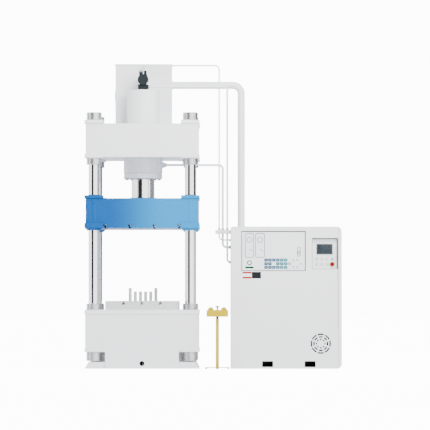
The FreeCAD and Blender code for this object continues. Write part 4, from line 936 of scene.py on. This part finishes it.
def makeLabel():
    # blank plate with plain bands below the door
    look = labelLook
    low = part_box("door_panel")[0]
    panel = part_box("cabinet_front_panel")[0].y
    x, z = low.x + look["inset"], low.z - look["drop"]
    left, rise = look["bandShift"]
    bands = [(roundedLoop(*look["band"]), None, (x - left, z + side * rise)) for side in (-1, 1)]
    shapes = (
        ("labelPlate", [(roundedLoop(*look["plate"]), None, (x, z))], 0.0, whitePrint),
        ("labelBands", bands, look["thick"], redPrint),
        ("labelBlock", [(roundedLoop(*look["block"]), None, (x + look["blockShift"], z))], look["thick"],
         blackPrint))
    for name, loops, stand, material in shapes:
        mesh = facePrint(name, loops, panel - look["thick"] - stand, look["thick"])
        addPiece(name, mesh, "frame", "unit_paint", material)


# reach is how far each painted-shadow bar runs out from its node's left, low, right and high side, wider on the
# right and high sides where the shade falls; inner is where it starts
shadowStripLook = {
    "depth": 0.002, "gap": 0.0002, "bevel": 0.0004,
    "doorShadowStrip": {"node": "door_panel", "reach": (0.010, 0.008, 0.013, 0.013), "inner": (-0.0035, 0, 0, 0),
                 "proud": 0.0008},
    "recessShadowStrip": {"node": "hmi_housing", "reach": (0.003, 0.002, 0.012, 0.013),
                   "inner": (0.003, 0.003, -0.003, -0.003), "proud": 0.0012},
}


def makeShadowStrips():
    # painted shadow: black strips stand in for the shade in the gap round the door and along the edge of the
    # operator recess
    panel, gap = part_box("cabinet_front_panel")[0].y, shadowStripLook["gap"]
    for name in ("doorShadowStrip", "recessShadowStrip"):
        look = shadowStripLook[name]
        a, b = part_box(look["node"])
        left, low, right, high = look["reach"]
        x0, z0, x1, z1 = a.x - left, a.z - low, b.x + right, b.z + high
        front = panel - look["proud"]
        i0, j0, i1, j1 = (edge + shift for edge, shift in zip((a.x, a.z, b.x, b.z), look["inner"]))
        bars = (((x0, z0), (i0 - gap, z1)), ((i1 + gap, z0), (x1, z1)),
                ((i0, z0), (i1, j0 - gap)), ((i0, j1 + gap), (i1, z1)))
        boxes = [((p[0], front, p[1]), (q[0], front + shadowStripLook["depth"], q[1])) for p, q in bars]
        addPiece(name, plateMesh(name, boxes, shadowStripLook["bevel"]), "frame", "black_rubber")


gripShadeLook = {"top": 0.178, "bottom": 1.442, "inset": 0.043, "wide": 0.006, "thick": 0.0006, "sink": 0.0002,
            "bend": 0.020}


def makeGripShadeLine():
    # painted shade: a grey line stands in for the shade along the grip recess at the side cover's edge, and it
    # turns outwards at its foot
    look = gripShadeLook
    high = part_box("cabinet_wrap")[1]
    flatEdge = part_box("cabinet_front_panel")[1].x
    x = min(high.x - look["inset"], flatEdge - look["wide"])
    top, foot, half = high.z - look["top"], high.z - look["bottom"], look["wide"] / 2
    reach = min(look["bend"], flatEdge - x - half)
    outline = [(x - half, top), (x + half, top), (x + half, foot), (x + half + reach, foot - look["bend"]),
               (x + reach - half, foot - look["bend"]), (x - half, foot)]
    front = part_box("cabinet_front_panel")[0].y - look["thick"]
    shadeLine = facePrint("gripShadeLine", [(outline, None, (0.0, 0.0))], front, look["thick"] + look["sink"])
    addPiece("gripShadeLine", shadeLine, "frame", "black_rubber", greyPrint)


fanShadeLook = {"radius": 0.166, "thick": 0.004, "gap": 0.0006, "segments": 96}


def makeFanShadeDisc():
    # painted shade: a black disc behind the fan slots stands in for the shaded inside of the closed cabinet
    look, middle = fanShadeLook, nodeSize("fan_rotor")[2]
    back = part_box("fan_frame")[0].y + look["gap"] + look["thick"]
    profile = [(0, 0), (look["radius"], 0), (look["radius"], look["thick"]), (0, look["thick"])]
    mat = turnedMesh("fanShadeDisc", profile, look["segments"], at(middle.x, back, middle.z, "X", 90))
    addPiece("fanShadeDisc", mat, "frame", "black_rubber")


operatorLook = {
    "glassInset": 0.017, "glassProud": 0.0008, "glassDepth": 0.002, "buttons": 6, "bezelBack": 0.013,
    "bezel": ((0.0142, 0), (0.0185, 0), (0.0185, 0.006), (0.0168, 0.0085), (0.0142, 0.0085)),
    "bezelSegments": 48,
    "mark": {"half": 0.0012, "reach": 0.009, "proud": 0.0004, "depth": 0.002, "bevel": 0.0004},
    "collar": ((0.0120, 0), (0.034, 0), (0.034, 0.0014), (0.0120, 0.0014)), "collarBack": 0.0089,
    "collarSegments": 64,
}


def makeOperatorPanel():
    look, mark = operatorLook, operatorLook["mark"]
    low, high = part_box("hmi_screen")
    inset, proud = look["glassInset"], look["glassProud"]
    pane = ((low.x + inset, low.y - proud, low.z + inset),
            (high.x - inset, low.y + look["glassDepth"], high.z - inset))
    addPiece("screenGlass", plateMesh("screenGlass", [pane], proud), "frame", "screen_plastic", glassGrey)
    # the bezel rings are real, but their dark grey is painted shadow round each button
    for index in range(look["buttons"]):
        low, high, middle = nodeSize("push_button_%d" % (index + 1))
        place = at(middle.x, low.y + look["bezelBack"], middle.z, "X", 90)
        ring = turnedMesh("bezel", look["bezel"], look["bezelSegments"], place)
        addPiece("buttonShadeRing_%d" % (index + 1), ring, "frame", "button_plastic", shadeRimGrey)
    low, high, middle = nodeSize("key_selector")
    line = ((middle.x - mark["half"], low.y - mark["proud"], middle.z - mark["reach"]),
            (middle.x + mark["half"], low.y + mark["depth"], middle.z + mark["reach"]))
    mesh = plateMesh("selectorMark", [line], mark["bevel"])
    addPiece("selectorMark", mesh, "selector", "grey_plastic", blackPrint)
    middle = nodeSize("panel_stop")[2]
    place = at(middle.x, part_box("hmi_housing")[1].y - look["collarBack"], middle.z, "X", 90)
    ring = turnedMesh("stopCollar", look["collar"], look["collarSegments"], place)
    addPiece("panelStopCollar", ring, "frame", "unit_paint", finishes["yellow_paint"])


handleLook = {"lever": 0.036, "margin": 0.010, "corner": 0.010, "shadowRimLift": 0.00025, "shadowRim": 0.0003,
              "lockRadius": 0.008, "lockDepth": 0.0012, "lockSink": 0.0004, "lockRise": 0.045,
              "lockSegments": 32}


def makeHandleDetail():
    look = handleLook
    low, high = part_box("door_handle")
    x = low.x + look["lever"] / 2
    radius, depth = look["lockRadius"], look["lockDepth"]
    lock = turnedMesh("lockBarrel", [(0, 0), (radius, 0), (radius, depth), (0, depth)], look["lockSegments"],
                      at(x, low.y + look["lockSink"], low.z + look["lockRise"], "X", 90))
    addPiece("lockBarrel", lock, "handle", "unit_paint", blackPrint)
    # painted shadow: a dark grey rim round the lever stands in for the shadow of the handle on the door
    outline = roundedLoop(look["lever"] + look["margin"], high.z - low.z + look["margin"], look["corner"])
    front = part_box("door_panel")[0].y - look["shadowRimLift"]
    shadowRim = facePrint("handleShadowRim", [(outline, None, (x, (low.z + high.z) / 2))], front, look["shadowRim"])
    addPiece("handleShadowRim", shadowRim, "door", "unit_paint", shadeRimGrey)


louvreLook = {
    "inset": 0.40, "out": 0.0058, "foot": 0.40, "screwSink": 0.0005, "screwRise": 0.03,
    "screwMargin": (0.10, 0.16),
    "slats": {"Count": 16, "Step": (0, 0, 0.026), "Size": (0.42, 0.014, 0.004), "Tilt": (0.7, 0, 0)},
    "screws": {"Columns": 5, "Rows": 5, "Radius": 0.006, "Depth": 0.004},
}


def makeLouvres():
    look = louvreLook
    low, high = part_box("cabinet_rear_panel")
    for index, x in enumerate((low.x + look["inset"], high.x - look["inset"])):
        values = dict(look["slats"], Place=(x, high.y + look["out"], look["foot"]),
                      Finish=finishes["unit_paint"])
        addPiece("rearLouvre_%d" % (index + 1), grown("louvre", slatRow, values), "frame", "unit_paint")
    across, upward = look["screwMargin"]
    values = dict(look["screws"], Width=high.x - low.x - across, Length=high.z - upward,
                  Turn=(math.pi / 2, 0, 0),
                  Place=((low.x + high.x) / 2, high.y - look["screwSink"], high.z / 2 + look["screwRise"]),
                  Finish=finishes["machined_steel"])
    addPiece("rearScrews", grown("rearScrews", studGrid, values), "frame", "machined_steel")


standLook = {
    "boxHeight": 0.099, "segments": 64,
    "stopRing": ((0.0115, 0), (0.033, 0), (0.033, 0.003), (0.030, 0.006), (0.0115, 0.006)),
    "palmRing": ((0.0232, 0), (0.029, 0), (0.029, 0.002), (0.027, 0.005), (0.0232, 0.005)),
    "guard": {"arc": (0.0398, 0.0396, 0, 180, 24), "front": 0.0595, "thick": 0.003},
    "screws": {"Columns": 2, "Rows": 2, "Length": 0.06, "Radius": 0.004, "Depth": 0.002},
    "screwMargin": 0.04, "screwSink": 0.0006, "screwRise": 0.0495,
}


def makeStandDetail():
    look, guard = standLook, standLook["guard"]
    low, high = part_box("stand_box")
    top = low.z + look["boxHeight"]
    middle = nodeSize("stand_stop")[2]
    ring = turnedMesh("standStopRing", look["stopRing"], look["segments"], at(middle.x, middle.y, top))
    addPiece("standStopRing", ring, "frame", "yellow_paint")
    for side in ("left", "right"):
        middle = nodeSize("palm_button_" + side)[2]
        ring = turnedMesh("palmRing", look["palmRing"], look["segments"], at(middle.x, middle.y, top))
        addPiece("palmRing_" + side, ring, "frame", "machined_steel")
        halfDisc = (arcLoop(*guard["arc"]), None, (middle.x, top))
        closed = facePrint("palmGuard", [halfDisc], middle.y - guard["front"], guard["thick"])
        addPiece("palmGuard_" + side, closed, "frame", "yellow_paint")
    for index, (side, y) in enumerate(((-1, low.y), (1, high.y))):
        place = ((low.x + high.x) / 2, y - side * look["screwSink"], low.z + look["screwRise"])
        values = dict(look["screws"], Width=high.x - low.x - look["screwMargin"], Place=place,
                      Turn=(math.pi / 2, 0, 0), Finish=finishes["machined_steel"])
        addPiece("boxScrews_%d" % (index + 1), grown("boxScrews", studGrid, values), "frame", "machined_steel")


makeColumns()
makeWipers()
makeRod()
makePressBolts()
makeWelds()
makeSlotShadeStops()
makeTankFittings()
makePipeFittings()
print("stage: press pieces built")
makeDoorPrint()
makeLabel()
makeShadowStrips()
makeGripShadeLine()
makeFanShadeDisc()
makeOperatorPanel()
makeHandleDetail()
makeLouvres()
makeStandDetail()
print("stage: power unit and stand pieces built")


studio = {
    "floorSize": 40.0, "floorGlow": 11.0, "backdrop": 12.5, "roomLight": 3.1,
    "room": ((0.00, 0.95), (0.20, 0.95), (0.345, 1.1), (0.362, 0.02), (0.474, 0.01), (0.484, 1.15),
             (0.60, 1.2), (0.70, 1.15), (0.722, 0.03), (0.94, 0.02), (0.96, 0.95)),
    "camera": {"across": 1.066, "distance": 46.0, "height": 0.99, "tilt": 1.561, "lens": 263.8},
    "key": {"place": (2.6, -5.0, 6.6), "size": 3.5, "power": 640.0},
}


def makeFloor():
    half = studio["floorSize"]
    mesh = bpy.data.meshes.new("floor")
    mesh.from_pydata([(-half, -half, 0), (half, -half, 0), (half, half * 4, 0), (-half, half * 4, 0)], [],
                     [(0, 1, 2, 3)])
    floor = bpy.data.objects.new("floor", mesh)
    scene.collection.objects.link(floor)
    material, tree, shader, _ = startMaterial("paleFloor")
    shader.inputs["Base Color"].default_value = (0.86, 0.865, 0.87, 1.0)
    shader.inputs["Roughness"].default_value = 0.8
    shader.inputs["Emission Color"].default_value = (1.0, 1.0, 1.0, 1.0)
    seen = tree.nodes.new("ShaderNodeLightPath").outputs["Is Camera Ray"]
    tree.links.new(mathNode(tree, "MULTIPLY", seen, studio["floorGlow"]), shader.inputs["Emission Strength"])
    mesh.materials.append(material)


def makeRoom():
    # an even white room with two dark strips that the polished columns mirror
    world = bpy.data.worlds.new("room")
    scene.world = world
    world.use_nodes = True
    tree = world.node_tree
    background = tree.nodes["Background"]
    background.inputs["Color"].default_value = (1.0, 1.0, 1.0, 1.0)
    way = tree.nodes.new("ShaderNodeTexCoord")
    parts = tree.nodes.new("ShaderNodeSeparateXYZ")
    tree.links.new(way.outputs["Generated"], parts.inputs[0])
    turn = mathNode(tree, "ARCTAN2", parts.outputs["X"], mathNode(tree, "MULTIPLY", parts.outputs["Y"], -1.0))
    share = mathNode(tree, "ADD", mathNode(tree, "DIVIDE", turn, 2 * math.pi), 0.5)
    ramp = tree.nodes.new("ShaderNodeValToRGB")
    stops = studio["room"]
    for index, (position, value) in enumerate(stops):
        element = ramp.color_ramp.elements[index] if index < 2 else ramp.color_ramp.elements.new(position)
        element.position = position
        element.color = (value, value, value, 1.0)
    tree.links.new(share, ramp.inputs[0])
    lift = rangeNode(tree, parts.outputs["Z"], -0.1, 0.9, 0.92, 1.12)
    bright = mathNode(tree, "MULTIPLY", mathNode(tree, "MULTIPLY", ramp.outputs["Color"], lift),
                      studio["roomLight"])
    seen = tree.nodes.new("ShaderNodeLightPath").outputs["Is Camera Ray"]
    pick = tree.nodes.new("ShaderNodeMix")
    tree.links.new(seen, pick.inputs[0])
    tree.links.new(bright, pick.inputs[2])
    pick.inputs[3].default_value = studio["backdrop"]
    tree.links.new(pick.outputs[0], background.inputs["Strength"])


def makeKeyLight():
    data = bpy.data.lights.new("key", "AREA")
    data.size = studio["key"]["size"]
    data.energy = studio["key"]["power"]
    light = bpy.data.objects.new("key", data)
    light.location = studio["key"]["place"]
    aim = Vector((1.0, 0.0, 2.0)) - Vector(studio["key"]["place"])
    light.rotation_euler = aim.to_track_quat("-Z", "Y").to_euler()
    scene.collection.objects.link(light)


def makeCamera():
    look = studio["camera"]
    data = bpy.data.cameras.new("camera")
    data.lens = look["lens"]
    data.sensor_width = 36.0
    data.clip_end = 600.0
    camera = bpy.data.objects.new("camera", data)
    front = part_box("bolster_plate")[0].y
    camera.location = (look["across"], front - look["distance"], look["height"])
    camera.rotation_euler = (math.radians(90.0 + look["tilt"]), 0.0, 0.0)
    scene.collection.objects.link(camera)
    scene.camera = camera


makeFloor()
makeRoom()
makeKeyLight()
makeCamera()
print("stage: studio ready")
